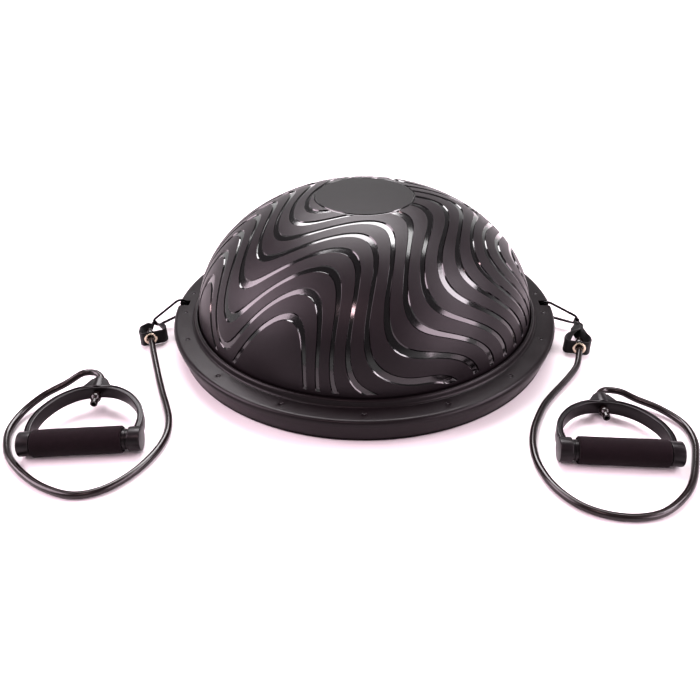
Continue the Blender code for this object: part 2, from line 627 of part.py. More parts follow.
def make_eyelet(side, frame):
    """Rolled metal eyelet through the strap's front, its washer, and the hose's end behind it."""
    face = STRAP_THICKNESS / 2 + GAP
    bore = HOSE_BORE_RADIUS
    flange = GROMMET_FLANGE_RADIUS
    barrel = GROMMET_BARREL_RADIUS
    curl = face + 0.0011
    profile = [(barrel + 0.0012, curl + 0.0002), (barrel + 0.0012, curl), (barrel, curl), (barrel, -face),
               (flange, -face), (flange, -face - 0.0005), (flange - 0.0012, -face - 0.0011),
               (barrel, -face - 0.0011), (bore, -face - 0.0004), (bore, curl + 0.0008), (barrel, curl + 0.0008)]
    turned(f"eyelet_{side}", profile, "eyelet_metal", 16, closed=True, parent=frame, matrix=along("Y"))
    inner = barrel + GAP
    washer = [(inner, curl - GAP), (flange, curl - GAP), (flange, face), (inner, face)]
    turned(f"eyelet_washer_{side}", washer, "eyelet_metal", 16, closed=True, parent=frame, matrix=along("Y"))
    start = HOSE_START_BACK + GAP
    make_hose_end(f"hose_end_anchor_{side}", f"anchor_plug_{side}", frame, along("Y", (0.0, start, 0.0)))


# ---------------------------------------------------------------- hoses
def make_hose_end(name, plug_name, parent, matrix):
    """The hose's swollen end: a hollow ball held open by a plug, and a short open tail."""
    bore = 0.0026
    ball_at = 0.0085
    cavity = 0.0052
    neck = math.degrees(math.asin(HOSE_RADIUS / BALL_RADIUS))
    mouth = math.degrees(math.asin(bore / cavity))
    tail_end = ball_at + BALL_RADIUS * math.cos(math.radians(neck)) + TAIL_LENGTH

    def sphere(radius, start, end, pieces):
        angles = [math.radians(start + (end - start) * step / pieces) for step in range(pieces + 1)]
        return [(radius * math.sin(angle), ball_at + radius * math.cos(angle)) for angle in angles]
    outer = [(HOSE_RADIUS - 0.0006, tail_end), (HOSE_RADIUS, tail_end - 0.0006)]
    outer += sphere(BALL_RADIUS, neck, 180.0 - neck, 5) + [(HOSE_RADIUS, 0.0)]
    inner = [(bore, 0.0)] + sphere(cavity, 180.0 - mouth, mouth, 3) + [(bore, tail_end)]
    turned(name, outer + inner, "hose_rubber", 10, closed=True, parent=parent, matrix=matrix)
    ball = sphere(cavity - GAP - 0.0006, 0.0, 180.0, 5)
    ball[0] = (0.0, ball[0][1])
    ball[-1] = (0.0, ball[-1][1])
    turned(plug_name, ball, "yoke_plastic", 8, parent=parent, matrix=matrix)


def hose_line(side):
    """Route of one hose: out through the eyelet, round the floor and into the handle's mouth."""
    eyelet = eyelet_matrix(side)
    handle = handle_matrix(side)
    route = [eyelet @ Vector((0.0, back, 0.0)) for back in (HOSE_START_BACK, -0.0040, -0.0120)]
    route += [Vector(point) for point in HOSES[side]["floor"]]
    route += [handle @ Vector((u, v, 0.0)) for u, v in HOSES[side]["turn"]]
    route += [handle @ Vector((0.0, v, 0.0)) for v in (0.0960, ARM_INNER_FACE + GAP)]
    return smooth_line(route, HOSE_POINT_SPACING)


def make_hose(side):
    tube(f"hose_{side}", hose_line(side), HOSE_RADIUS, 2, "hose_rubber")


# ---------------------------------------------------------------- handles
def handle_matrix(side):
    """Frame at the grip's centre: X along the grip, Y to the mouth, Z out of the handle's face."""
    handle = HANDLES[side]
    heading = math.radians(handle["heading"])
    lift = math.radians(handle["lift"])
    x_axis = Vector((math.cos(heading), math.sin(heading), 0.0))
    level = Vector((-math.sin(heading), math.cos(heading), 0.0))
    return frame_matrix(Vector(handle["centre"]), x_axis, level * math.cos(lift) + Vector((0.0, 0.0, math.sin(lift))))


def arm_outline():
    """The yoke's bent arm seen flat: its outer edge one way, then its inner edge back."""
    half = [Vector((u, v, 0.0)) for u, v in ARM_LINE]
    mirrored = [Vector((-point.x, point.y, 0.0)) for point in half[-2::-1]]
    line = smooth_line(half + mirrored, 0.0090)
    outer, inner = [], []
    for i, point in enumerate(line):
        ahead = line[min(i + 1, len(line) - 1)]
        behind = line[max(i - 1, 0)]
        tangent = (ahead - behind).normalized()
        side = Vector((tangent.y, -tangent.x, 0.0)) * ARM_HALF_THICKNESS
        outer.append(point + side)
        inner.append(point - side)
    return outer + inner[::-1]


def make_yoke(side, frame):
    """The one-piece handle frame: bent arm, two end cups and the block that the hose runs through."""
    yoke = plate(f"yoke_{side}", arm_outline(), ARM_HALF_DEPTH, "yoke_plastic", frame)
    inner = GRIP_HALF_LENGTH - CUP_LENGTH
    for end, sign in (("near", -1), ("far", 1)):
        cup = rod(f"cup_{side}_{end}", CUP_RADIUS, (min(sign * inner, sign * GRIP_HALF_LENGTH), 0.0, 0.0),
                  (max(sign * inner, sign * GRIP_HALF_LENGTH), 0.0, 0.0), sides=24, axis="X", parent=frame)
        boolean(yoke, cup, "UNION")
        socket = rod(f"socket_{side}_{end}", JOURNAL_RADIUS + GAP,
                     (min(sign * (inner - 0.002), sign * (inner + SOCKET_DEPTH)), 0.0, 0.0),
                     (max(sign * (inner - 0.002), sign * (inner + SOCKET_DEPTH)), 0.0, 0.0),
                     sides=16, axis="X", parent=frame)
        boolean(yoke, socket)
    block = plate(f"block_{side}", ((-0.0200, 0.0862), (0.0200, 0.0862), (0.0095, 0.1035), (-0.0095, 0.1035)),
                  ARM_HALF_DEPTH - 0.0002, parent=frame)
    boolean(yoke, block, "UNION")
    barrel = rod(f"barrel_{side}", 0.0104, (0.0, 0.0868, 0.0), (0.0, BOSS_END, 0.0), sides=16, axis="Y",
                 parent=frame)
    boolean(yoke, barrel, "UNION")
    bore = rod(f"bore_{side}", HOSE_BORE_RADIUS, (0.0, 0.0750, 0.0), (0.0, 0.1150, 0.0), sides=12, axis="Y",
               parent=frame)
    boolean(yoke, bore)
    mouth = rod(f"mouth_{side}", HOSE_BORE_RADIUS, (0.0, 0.1010, 0.0), (0.0, 0.1065, 0.0), sides=12, axis="Y",
                parent=frame, end_radius=0.0080)
    boolean(yoke, mouth)


def make_grip(side, frame):
    """The tube that spins in the two cups, with its foam sleeve."""
    shoulder = GRIP_HALF_LENGTH - CUP_LENGTH - GAP
    journal_end = GRIP_HALF_LENGTH - CUP_LENGTH + SOCKET_DEPTH - GAP
    core = [(JOURNAL_RADIUS, journal_end), (JOURNAL_RADIUS, shoulder), (CORE_RADIUS, shoulder),
            (CORE_RADIUS, -shoulder), (JOURNAL_RADIUS, -shoulder), (JOURNAL_RADIUS, -journal_end),
            (CORE_BORE_RADIUS, -journal_end), (CORE_BORE_RADIUS, journal_end)]
    turned(f"grip_core_{side}", core, "yoke_plastic", 16, closed=True, parent=frame, matrix=along("X"))
    shift = HANDLES[side]["foam_shift"]
    half = FOAM_LENGTH / 2
    bore = CORE_RADIUS + GAP
    foam = [(FOAM_RADIUS - 0.0018, half + shift), (FOAM_RADIUS, half - 0.0018 + shift),
            (FOAM_RADIUS, -half + 0.0018 + shift), (FOAM_RADIUS - 0.0018, -half + shift),
            (bore, -half + shift), (bore, half + shift)]
    turned(f"foam_sleeve_{side}", foam, "grip_foam", 20, closed=True, parent=frame, matrix=along("X"))


def make_handle(side):
    frame = frame_empty(f"handle_frame_{side}", handle_matrix(side))
    make_yoke(side, frame)
    make_grip(side, frame)
    end = Matrix.Translation((0.0, ARM_INNER_FACE, 0.0)) @ Matrix.Rotation(math.pi / 2, 4, "X")
    make_hose_end(f"hose_end_handle_{side}", f"handle_plug_{side}", frame, end)


# ---------------------------------------------------------------- the whole object
def main():
    make_dome()
    make_top_ring()
    make_base_pan()
    make_screws()
    make_underside_pads()
    make_valve()
    for side in ("left", "right"):
        make_anchor_bar(side)
        make_clip(side)
        make_eyelet(side, make_strap(side))
        make_hose(side)
        make_handle(side)


main()
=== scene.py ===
"""Looks of the balance dome trainer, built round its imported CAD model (Blender 4.5)."""

import json
import math

import bmesh
import bpy
import numpy as np
from mathutils import Matrix, Vector


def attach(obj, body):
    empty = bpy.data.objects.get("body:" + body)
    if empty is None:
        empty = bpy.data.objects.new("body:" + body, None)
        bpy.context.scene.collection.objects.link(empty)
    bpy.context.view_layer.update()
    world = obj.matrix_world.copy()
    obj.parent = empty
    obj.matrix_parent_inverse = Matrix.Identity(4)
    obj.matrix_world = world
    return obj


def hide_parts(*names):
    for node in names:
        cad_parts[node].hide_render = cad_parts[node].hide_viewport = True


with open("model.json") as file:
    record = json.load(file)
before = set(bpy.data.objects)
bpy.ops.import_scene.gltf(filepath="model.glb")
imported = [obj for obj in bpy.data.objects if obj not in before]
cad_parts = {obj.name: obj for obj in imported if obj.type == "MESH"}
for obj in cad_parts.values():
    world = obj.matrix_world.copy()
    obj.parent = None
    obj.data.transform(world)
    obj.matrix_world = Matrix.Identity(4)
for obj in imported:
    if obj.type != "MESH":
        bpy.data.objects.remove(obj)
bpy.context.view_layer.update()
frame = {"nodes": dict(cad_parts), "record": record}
NODES = frame["nodes"]
SIDES = ("left", "right")
GAP = 0.0003

# ---------------------------------------------------------------- camera and light
CAMERA_PLACE = (0.0, -0.9388, 0.5771)
CAMERA_LENS = 35.69
CAMERA_SHIFT = (-0.0206, -0.0389)


def make_camera():
    data = bpy.data.cameras.new("camera")
    data.sensor_width = 36.0
    data.lens = CAMERA_LENS
    data.shift_x, data.shift_y = CAMERA_SHIFT
    data.clip_start = 0.01
    camera = bpy.data.objects.new("camera", data)
    bpy.context.scene.collection.objects.link(camera)
    camera.location = CAMERA_PLACE
    camera.rotation_euler = (-Vector(CAMERA_PLACE)).to_track_quat("-Z", "Y").to_euler()
    bpy.context.scene.camera = camera


# ---------------------------------------------------------------- numbers shared with the CAD model
HOSE_RADIUS = 0.0045
ARM_INNER_FACE = 0.0843
HOSE_START_BACK = 0.0030
HANDLES = {
    "left": {"centre": (-0.3415, -0.3007, 0.0172), "heading": 4.3, "lift": 6.0, "foam_shift": -0.0033},
    "right": {"centre": (0.3022, -0.3192, 0.0172), "heading": -3.4, "lift": -1.0, "foam_shift": 0.0033},
}
EYELETS = {
    "left": {"place": (-0.3205, -0.0635, 0.0117), "heading": -70.0},
    "right": {"place": (0.3155, -0.0895, 0.0117), "heading": -104.0},
}
HOSES = {
    "left": {
        "floor": ((-0.3060, -0.1030, 0.0098), (-0.2960, -0.1300, 0.0078),
                  (-0.2850, -0.1590, 0.0058), (-0.2730, -0.1890, 0.0048), (-0.2610, -0.2170, 0.0047),
                  (-0.2510, -0.2450, 0.0047), (-0.2470, -0.2750, 0.0047), (-0.2530, -0.3080, 0.0047),
                  (-0.2700, -0.3420, 0.0047), (-0.2960, -0.3680, 0.0047), (-0.3280, -0.3770, 0.0047),
                  (-0.3650, -0.3650, 0.0047), (-0.3990, -0.3420, 0.0047), (-0.4270, -0.3130, 0.0047),
                  (-0.4420, -0.2840, 0.0047), (-0.4470, -0.2600, 0.0052), (-0.4420, -0.2320, 0.0078),
                  (-0.4245, -0.2075, 0.0145), (-0.3990, -0.1910, 0.0220)),
        "turn": ((-0.0300, 0.1235), (-0.0200, 0.1262), (-0.0105, 0.1240), (-0.0030, 0.1165), (0.0, 0.1070)),
    },
    "right": {
        "floor": ((0.3020, -0.1300, 0.0088), (0.2860, -0.1530, 0.0064),
                  (0.2700, -0.1725, 0.0050), (0.2540, -0.1920, 0.0047), (0.2380, -0.2140, 0.0047),
                  (0.2240, -0.2400, 0.0047), (0.2130, -0.2660, 0.0047), (0.2060, -0.2960, 0.0047),
                  (0.2060, -0.3290, 0.0047), (0.2160, -0.3630, 0.0047), (0.2360, -0.3900, 0.0047),
                  (0.2620, -0.4050, 0.0047), (0.2930, -0.4100, 0.0047), (0.3240, -0.4040, 0.0047),
                  (0.3520, -0.3850, 0.0047), (0.3750, -0.3590, 0.0047), (0.3940, -0.3220, 0.0047),
                  (0.4070, -0.2850, 0.0048), (0.4050, -0.2530, 0.0056), (0.3850, -0.2270, 0.0080),
                  (0.3590, -0.2100, 0.0108)),
        "turn": ((0.0330, 0.1205), (0.0210, 0.1240), (0.0105, 0.1235), (0.0030, 0.1165), (0.0, 0.1070)),
    },
}
WIRE_RADIUS = 0.0018             # snap clips
CLIP_WIDE_RADIUS = 0.0120
CLIP_NARROW_RADIUS = 0.0068
CLIP_CENTRES = 0.0400
HINGE_DISTANCE = 0.0350          # of the gate's pin, along the lower leg
GATE_RADIUS = 0.0020
GATE_PIN_RADIUS = 0.0008
GATE_FORK_HALF = 0.0012
ANCHOR_RADIUS = 0.2810
ANCHOR_HEIGHT = 0.0285
CLIPS = {
    "left": {"side": -1, "droop": 24.0, "offset": (0.0055, 0.0045, 0.0010)},
    "right": {"side": 1, "droop": 11.0, "offset": (0.0070, -0.0010, 0.0015)},
}
CLIP_YAW = 25.0
STRAP_THICKNESS = 0.0016
STRAP_WIDTH = 0.0220
STRAPS = {
    "left": {
        "lean": -30.0,
        "outline": ((0.0150, 0.0360), (0.0195, 0.0270), (0.0235, 0.0170), (0.0240, 0.0075),
                    (0.0190, 0.0008), (0.0120, 0.0), (0.0060, 0.0), (0.0, 0.0), (-0.0060, 0.0),
                    (-0.0112, 0.0), (-0.0146, 0.0065), (-0.0125, 0.0160), (-0.0065, 0.0270),
                    (0.0045, 0.0360)),
    },
    "right": {
        "lean": 50.0,
        "outline": ((-0.0008, 0.0560), (-0.0008, 0.0400), (0.0065, 0.0270), (0.0140, 0.0160),
                    (0.0155, 0.0070), (0.0120, 0.0008), (0.0060, 0.0), (0.0, 0.0), (-0.0060, 0.0),
                    (-0.0120, 0.0), (-0.0185, 0.0010), (-0.0215, 0.0070), (-0.0190, 0.0160),
                    (-0.0110, 0.0270), (-0.0058, 0.0400), (-0.0058, 0.0560)),
    },
}
GROMMET_FLANGE_RADIUS = 0.0096
GROMMET_BARREL_RADIUS = 0.0062
HOSE_BORE_RADIUS = 0.0050
BALL_RADIUS = 0.0068
TAIL_LENGTH = 0.0075
GRIP_HALF_LENGTH = 0.0720
CUP_LENGTH = 0.0150
CUP_RADIUS = 0.0150
SOCKET_DEPTH = 0.0085
JOURNAL_RADIUS = 0.0090
CORE_RADIUS = 0.0125
CORE_BORE_RADIUS = 0.0068
FOAM_RADIUS = 0.0170
FOAM_LENGTH = 0.1060
ARM_HALF_THICKNESS = 0.00375
ARM_HALF_DEPTH = 0.0090
BOSS_END = 0.1060
ARM_LINE = ((0.0645, 0.0060), (0.0662, 0.0250), (0.0628, 0.0430), (0.0545, 0.0590),
            (0.0425, 0.0728), (0.0270, 0.0828), (0.0120, 0.0872), (0.0, 0.0880))
VALVE_PLACE = (0.0, 0.1450)


def frame_matrix(origin, x_axis, y_axis):
    rotation = Matrix((x_axis, y_axis, x_axis.cross(y_axis))).transposed()
    return Matrix.Translation(origin) @ rotation.to_4x4()


def handle_matrix(side):
    """Frame at the grip's centre: X along the grip, Y to the mouth, Z out of the handle's face."""
    handle = HANDLES[side]
    heading = math.radians(handle["heading"])
    lift = math.radians(handle["lift"])
    x_axis = Vector((math.cos(heading), math.sin(heading), 0.0))
    level = Vector((-math.sin(heading), math.cos(heading), 0.0))
    y_axis = level * math.cos(lift) + Vector((0.0, 0.0, math.sin(lift)))
    return frame_matrix(Vector(handle["centre"]), x_axis, y_axis)


def eyelet_matrix(side):
    """Frame at the eyelet: X across the strap's front, Y back to the clip, Z up."""
    heading = math.radians(EYELETS[side]["heading"])
    away = Vector((math.cos(heading), math.sin(heading), 0.0))
    return frame_matrix(Vector(EYELETS[side]["place"]), Vector((-away.y, away.x, 0.0)), -away)


def smooth_line(points, spacing):
    """Points at even spacing on the smooth curve through the given points."""
    points = [Vector(point) for point in points]
    dense = []
    for i, (start, end) in enumerate(zip(points, points[1:])):
        before = points[i - 1] if i > 0 else 2 * start - end
        after = points[i + 2] if i + 2 < len(points) else 2 * end - start
        for step in range(24):
            t = step / 24
            dense.append(0.5 * (2 * start + (end - before) * t
                                + (2 * before - 5 * start + 4 * end - after) * t * t
                                + (3 * start - before - 3 * end + after) * t ** 3))
    dense.append(points[-1].copy())
    lengths = [(b - a).length for a, b in zip(dense, dense[1:])]
    total = sum(lengths)
    pieces = max(2, round(total / spacing))
    result = []
    reached = 0.0
    index = 0
    for step in range(pieces + 1):
        target = total * step / pieces
        while index < len(lengths) - 1 and reached + lengths[index] < target:
            reached += lengths[index]
            index += 1
        share = min(1.0, (target - reached) / lengths[index])
        result.append(dense[index].lerp(dense[index + 1], share))
    return result


# ---------------------------------------------------------------- materials
def surface(name, colour, roughness, metallic=0.0, mottle=(60.0, 0.12), rough_range=0.08,
            grain=(900.0, 0.00010), specular=0.5, sheen=0.0):
    """A material with a little drift in colour and roughness and a fine raised grain.

    mottle is the drift's scale and share of the colour; grain is the grain's scale and height in metres.
    """
    material = bpy.data.materials.new(name)
    material.use_nodes = True
    tree = material.node_tree
    shader = tree.nodes["Principled BSDF"]
    shader.inputs["Metallic"].default_value = metallic
    shader.inputs["Specular IOR Level"].default_value = specular
    shader.inputs["Sheen Weight"].default_value = sheen
    place = tree.nodes.new("ShaderNodeTexCoord")
    drift = tree.nodes.new("ShaderNodeTexNoise")
    drift.inputs["Scale"].default_value = mottle[0]
    drift.inputs["Detail"].default_value = 4.0
    tree.links.new(place.outputs["Object"], drift.inputs["Vector"])
    shade = tree.nodes.new("ShaderNodeMix")
    shade.data_type = "RGBA"
    darker = [channel * (1.0 - mottle[1]) for channel in colour]
    lighter = [min(1.0, channel * (1.0 + mottle[1])) for channel in colour]
    shade.inputs[6].default_value = (*darker, 1.0)
    shade.inputs[7].default_value = (*lighter, 1.0)
    tree.links.new(drift.outputs["Fac"], shade.inputs[0])
    tree.links.new(shade.outputs[2], shader.inputs["Base Color"])
    spread = tree.nodes.new("ShaderNodeMapRange")
    spread.inputs["To Min"].default_value = max(0.02, roughness - rough_range)
    spread.inputs["To Max"].default_value = min(1.0, roughness + rough_range)
    tree.links.new(drift.outputs["Fac"], spread.inputs["Value"])
    tree.links.new(spread.outputs["Result"], shader.inputs["Roughness"])
    fine = tree.nodes.new("ShaderNodeTexNoise")
    fine.inputs["Scale"].default_value = grain[0]
    fine.inputs["Detail"].default_value = 2.0
    tree.links.new(place.outputs["Object"], fine.inputs["Vector"])
    bump = tree.nodes.new("ShaderNodeBump")
    bump.inputs["Strength"].default_value = 1.0
    bump.inputs["Distance"].default_value = grain[1]
    tree.links.new(fine.outputs["Fac"], bump.inputs["Height"])
    tree.links.new(bump.outputs["Normal"], shader.inputs["Normal"])
    return material


def weave(material, warp=0.0011, weft=0.0016, height=0.00022):
    """Give a material the raised crossing threads of webbing, laid out by the strap's length and width."""
    tree = material.node_tree
    bump = next(node for node in tree.nodes if node.type == "BUMP")
    place = tree.nodes.new("ShaderNodeTexCoord")
    threads = []
    for direction, pitch in (("X", weft), ("Y", warp)):
        wave = tree.nodes.new("ShaderNodeTexWave")
        wave.bands_direction = direction
        wave.inputs["Scale"].default_value = math.pi / (10 * pitch)
        wave.inputs["Distortion"].default_value = 0.6
        wave.inputs["Detail Scale"].default_value = 3.0
        tree.links.new(place.outputs["UV"], wave.inputs["Vector"])
        threads.append(wave)
    cross = tree.nodes.new("ShaderNodeMath")
    cross.operation = "MULTIPLY"
    tree.links.new(threads[0].outputs["Fac"], cross.inputs[0])
    tree.links.new(threads[1].outputs["Fac"], cross.inputs[1])
    tree.links.new(cross.outputs["Value"], bump.inputs["Height"])
    bump.inputs["Distance"].default_value = height
    return material


MATERIALS = {
    "dome_pvc": surface("dome_satin", (0.0125, 0.0090, 0.0108), 0.42, mottle=(25.0, 0.10),
                        grain=(700.0, 0.00006), specular=0.28),
    "dome_gloss": surface("dome_gloss", (0.0050, 0.0040, 0.0048), 0.13, mottle=(30.0, 0.08),
                          rough_range=0.03, grain=(260.0, 0.00003), specular=0.72),
    "dome_disc": surface("dome_disc_gloss", (0.0130, 0.0125, 0.0125), 0.52, mottle=(14.0, 0.30),
                         rough_range=0.06, grain=(18.0, 0.00060), specular=0.20),
    "base_plastic": surface("base_satin", (0.0088, 0.0058, 0.0070), 0.34, mottle=(35.0, 0.12),
                            grain=(1200.0, 0.00005), specular=0.26),
    "grip_rubber": surface("pad_rubber", (0.020, 0.020, 0.021), 0.80, grain=(500.0, 0.00020)),
    "screw_steel": surface("screw_zinc", (0.46, 0.46, 0.48), 0.34, metallic=1.0, mottle=(400.0, 0.10)),
    "clip_steel": surface("clip_dark_steel", (0.045, 0.043, 0.045), 0.28, metallic=1.0,
                          mottle=(300.0, 0.30)),
    "strap_webbing": weave(surface("strap_webbing", (0.0095, 0.0088, 0.0095), 0.70,
                                   mottle=(300.0, 0.30), sheen=0.15, specular=0.35)),
    "stitch_thread": surface("stitch_thread", (0.022, 0.021, 0.023), 0.60, mottle=(800.0, 0.20)),
    "eyelet_metal": surface("eyelet_nickel", (0.62, 0.54, 0.44), 0.24, metallic=1.0,
                            mottle=(250.0, 0.12)),
    "hose_rubber": surface("hose_latex", (0.0110, 0.0066, 0.0070), 0.22, mottle=(80.0, 0.25),
                           rough_range=0.05, grain=(250.0, 0.00006), specular=0.50),
    "yoke_plastic": surface("yoke_satin", (0.0085, 0.0060, 0.0072), 0.32, mottle=(60.0, 0.12),
                            grain=(900.0, 0.00006), specular=0.34),
    "grip_foam": surface("grip_foam", (0.0110, 0.0062, 0.0080), 0.95, mottle=(200.0, 0.30),
                         grain=(1600.0, 0.00060), specular=0.15, sheen=0.05),
}
for entry in frame["record"]["subparts"]:
    NODES[entry["node"]].data.materials.clear()
    NODES[entry["node"]].data.materials.append(MATERIALS[entry["material_slot"]])


def add(obj, slot, material=None):
    """Link a finished piece and give it the material of its record slot, or the material given."""
    bpy.context.scene.collection.objects.link(obj)
    obj.data.materials.append(MATERIALS[material or slot])
    return obj


def put(obj, slot, body, node):
    """Add a finished piece that moves with a body and stands for a CAD node."""
    add(obj, slot)
    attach(obj, body)
    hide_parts(node)
    return obj


# ---------------------------------------------------------------- hoses
def hose_route(side):
    """The hose's middle line, from behind its eyelet along the floor and into the handle."""
    eyelet = eyelet_matrix(side)
    handle = handle_matrix(side)
    route = [eyelet @ Vector((0.0, back, 0.0)) for back in (HOSE_START_BACK, -0.0040, -0.0120)]
    route += [Vector(point) for point in HOSES[side]["floor"]]
    route += [handle @ Vector((u, v, 0.0)) for u, v in HOSES[side]["turn"]]
    route += [handle @ Vector((0.0, v, 0.0)) for v in (0.0960, ARM_INNER_FACE + GAP)]
    return smooth_line(route, 0.0040)


def make_hose(side):
    """The hose and its two ends; returns its length."""
    points = hose_route(side)
    curve = bpy.data.curves.new(f"rubber_hose_{side}", "CURVE")
    curve.dimensions = "3D"
    curve.bevel_depth = HOSE_RADIUS
    curve.bevel_resolution = 6
    curve.use_fill_caps = True
    spline = curve.splines.new("POLY")
    spline.points.add(len(points) - 1)
    for target, point in zip(spline.points, points):
        target.co = (*point, 1.0)
    spline.use_smooth = True
    hose = bpy.data.objects.new(f"rubber_hose_{side}", curve)
    put(hose, "hose_rubber", "trainer", f"hose_{side}")
    length = sum((b - a).length for a, b in zip(points, points[1:]))
    behind_eyelet = (eyelet_matrix(side) @ Matrix.Translation((0.0, HOSE_START_BACK + GAP, 0.0))
                     @ Matrix.Rotation(-math.pi / 2, 4, "X"))
    inside_handle = (handle_matrix(side) @ Matrix.Translation((0.0, ARM_INNER_FACE, 0.0))
                     @ Matrix.Rotation(math.pi / 2, 4, "X"))
    on_it = make_hose_end("anchor", side, behind_eyelet) + make_hose_end("handle", side, inside_handle)
    return length


# ---------------------------------------------------------------- turned pieces
def mesh_object(name, vertices, faces):
    mesh = bpy.data.meshes.new(name)
    mesh.from_pydata(vertices, [], faces)
    return bpy.data.objects.new(name, mesh)


def finish_mesh(obj, sharp=30.0):
    """Weld, point the faces outwards and shade smooth, with sharp edges above an angle in degrees."""
    bm = bmesh.new()
    bm.from_mesh(obj.data)
    bmesh.ops.remove_doubles(bm, verts=bm.verts, dist=1e-6)
    bmesh.ops.recalc_face_normals(bm, faces=bm.faces)
    bm.to_mesh(obj.data)
    bm.free()
    obj.data.shade_smooth()
    obj.data.set_sharp_from_angle(angle=math.radians(sharp))
    return obj


def tube_faces(rings, count):
    """Faces of a tube of rings with count points each: its sides, then its two ends."""
    faces = [(ring * count + k, ring * count + (k + 1) % count,
              (ring + 1) * count + (k + 1) % count, (ring + 1) * count + k)
             for ring in range(rings - 1) for k in range(count)]
    return faces + [tuple(range(count)), tuple(range((rings - 1) * count, rings * count))]


def turned(name, profile, steps, matrix=None, sharp=30.0):
    """A closed outline of (radius, height) points turned about Z.

    An outline that meets the axis has no face there.
    """
    vertices, faces = [], []
    count = len(profile)
    for step in range(steps):
        angle = 2 * math.pi * step / steps
        vertices += [(radius * math.cos(angle), radius * math.sin(angle), height)
                     for radius, height in profile]
    for step in range(steps):
        here, there = step * count, (step + 1) % steps * count
        for i in range(count):
            k = (i + 1) % count
            if profile[i][0] < 1e-7 and profile[k][0] < 1e-7:
                continue
            faces.append((here + i, there + i, there + k, here + k))
    obj = mesh_object(name, vertices, faces)
    if matrix is not None:
        obj.data.transform(matrix)
    return finish_mesh(obj, sharp)


def rounded(profile, radius, pieces=3):
    """The outline with each corner eased by an arc-like curve that starts at radius from it."""
    result = []
    count = len(profile)
    for i, corner in enumerate(profile):
        corner = Vector(corner)
        before, after = Vector(profile[i - 1]), Vector(profile[(i + 1) % count])
        if corner.x < 1e-7:
            result.append(tuple(corner))
            continue
        reach = min(radius, (before - corner).length * 0.45, (after - corner).length * 0.45)
        start = corner + (before - corner).normalized() * reach
        end = corner + (after - corner).normalized() * reach
        for step in range(pieces + 1):
            t = step / pieces
            result.append(tuple(start * (1 - t) ** 2 + corner * 2 * t * (1 - t) + end * t * t))
    return result


def merged(name, pieces):
    """One mesh holding several."""
    bm = bmesh.new()
    for piece in pieces:
        bm.from_mesh(piece.data)
    mesh = bpy.data.meshes.new(name)
    bm.to_mesh(mesh)
    bm.free()
    return bpy.data.objects.new(name, mesh)


def cut(obj, cutter, operation="DIFFERENCE", sharp=30.0):
    """Apply one exact Boolean to a mesh object that isn't linked yet."""
    scene = bpy.context.scene.collection
    scene.objects.link(obj)
    scene.objects.link(cutter)
    modifier = obj.modifiers.new("cut", "BOOLEAN")
    modifier.operation = operation
    modifier.solver = "EXACT"
    modifier.object = cutter
    bpy.context.view_layer.update()
    mesh = bpy.data.meshes.new_from_object(obj.evaluated_get(bpy.context.evaluated_depsgraph_get()))
    name = obj.name
    bpy.data.objects.remove(obj)
    bpy.data.objects.remove(cutter)
    result = bpy.data.objects.new(name, mesh)
    return finish_mesh(result, sharp)


def block(name, low, high):
    """A box between two opposite corners."""
    vertices = [(x, y, z) for x in (low[0], high[0]) for y in (low[1], high[1]) for z in (low[2], high[2])]
    faces = [(0, 1, 3, 2), (4, 6, 7, 5), (0, 4, 5, 1), (2, 3, 7, 6), (0, 2, 6, 4), (1, 5, 7, 3)]
    return mesh_object(name, vertices, faces)


def rod(name, radius, start, end, sides=24):
    """A round bar between two points."""
    start, end = Vector(start), Vector(end)
    length = (end - start).length
    turn = (end - start).to_track_quat("Z", "Y").to_matrix().to_4x4()
    profile = [(0.0, 0.0), (radius, 0.0), (radius, length), (0.0, length)]
    return turned(name, profile, sides, Matrix.Translation(start) @ turn)


# ---------------------------------------------------------------- dome
DOME_RADIUS = 0.2520
DOME_WIDEST = 0.0400
DOME_RISE = 0.1810
DOME_WALL = 0.0025
DOME_SEGMENTS = 216
RING_SPACING = 0.0050            # between the dome mesh's circles, along its surface
DOME_FOOT = 0.0306               # height where the dome goes down inside the base's lip
DISC_RADIUS = 0.0705             # of the plain disc at the top, along the surface
DISC_RISE = 0.0024               # of its middle above its edge
DISC_GROOVE = 0.0028
DISC_GROOVE_DEPTH = 0.0009
LAND, GLOSS, DISC = 0, 1, 2      # the dome's materials
WAVES_START = 0.0727             # along the surface from the top
WAVES_END = 0.3330
WAVE_RAMP = 0.0036
WAVE_DEPTH = 0.0014
WAVE_HALF_WIDTH = 0.160          # this and the next as a share of the distance between grooves
WAVE_WALL = 0.045
# The grooves are the lines of equal height of a wavy slope. Its places are in units of 100 mm along
# the dome's surface from its top: rise runs to the back right, run to the front right. Its numbers
# are given: an even slope, a wave across it that grows a little longer to the right, a slight bend,
# and low hills where the grooves swell round a spot.
SLOPE_START = 8.3
SLOPE_PER_RISE = 2.6
SLOPE_BEND = 0.05
WAVE_SWING = 0.55
WAVE_PHASE = -1.1
WAVE_PER_RUN = 3.0
WAVE_STRETCH = 0.1
HILL_RADIUS = 0.5
HILLS = (                        # height, rise, run
    (0.7, -0.5, -0.3),           # under the disc
    (0.8, 1.0, 1.6),             # right of the disc
    (0.5, -0.3, 1.4),            # in front of the disc
    (1.2, -2.0, 3.1),            # front right rim
    (0.6, -3.0, -0.5),           # left rim
)


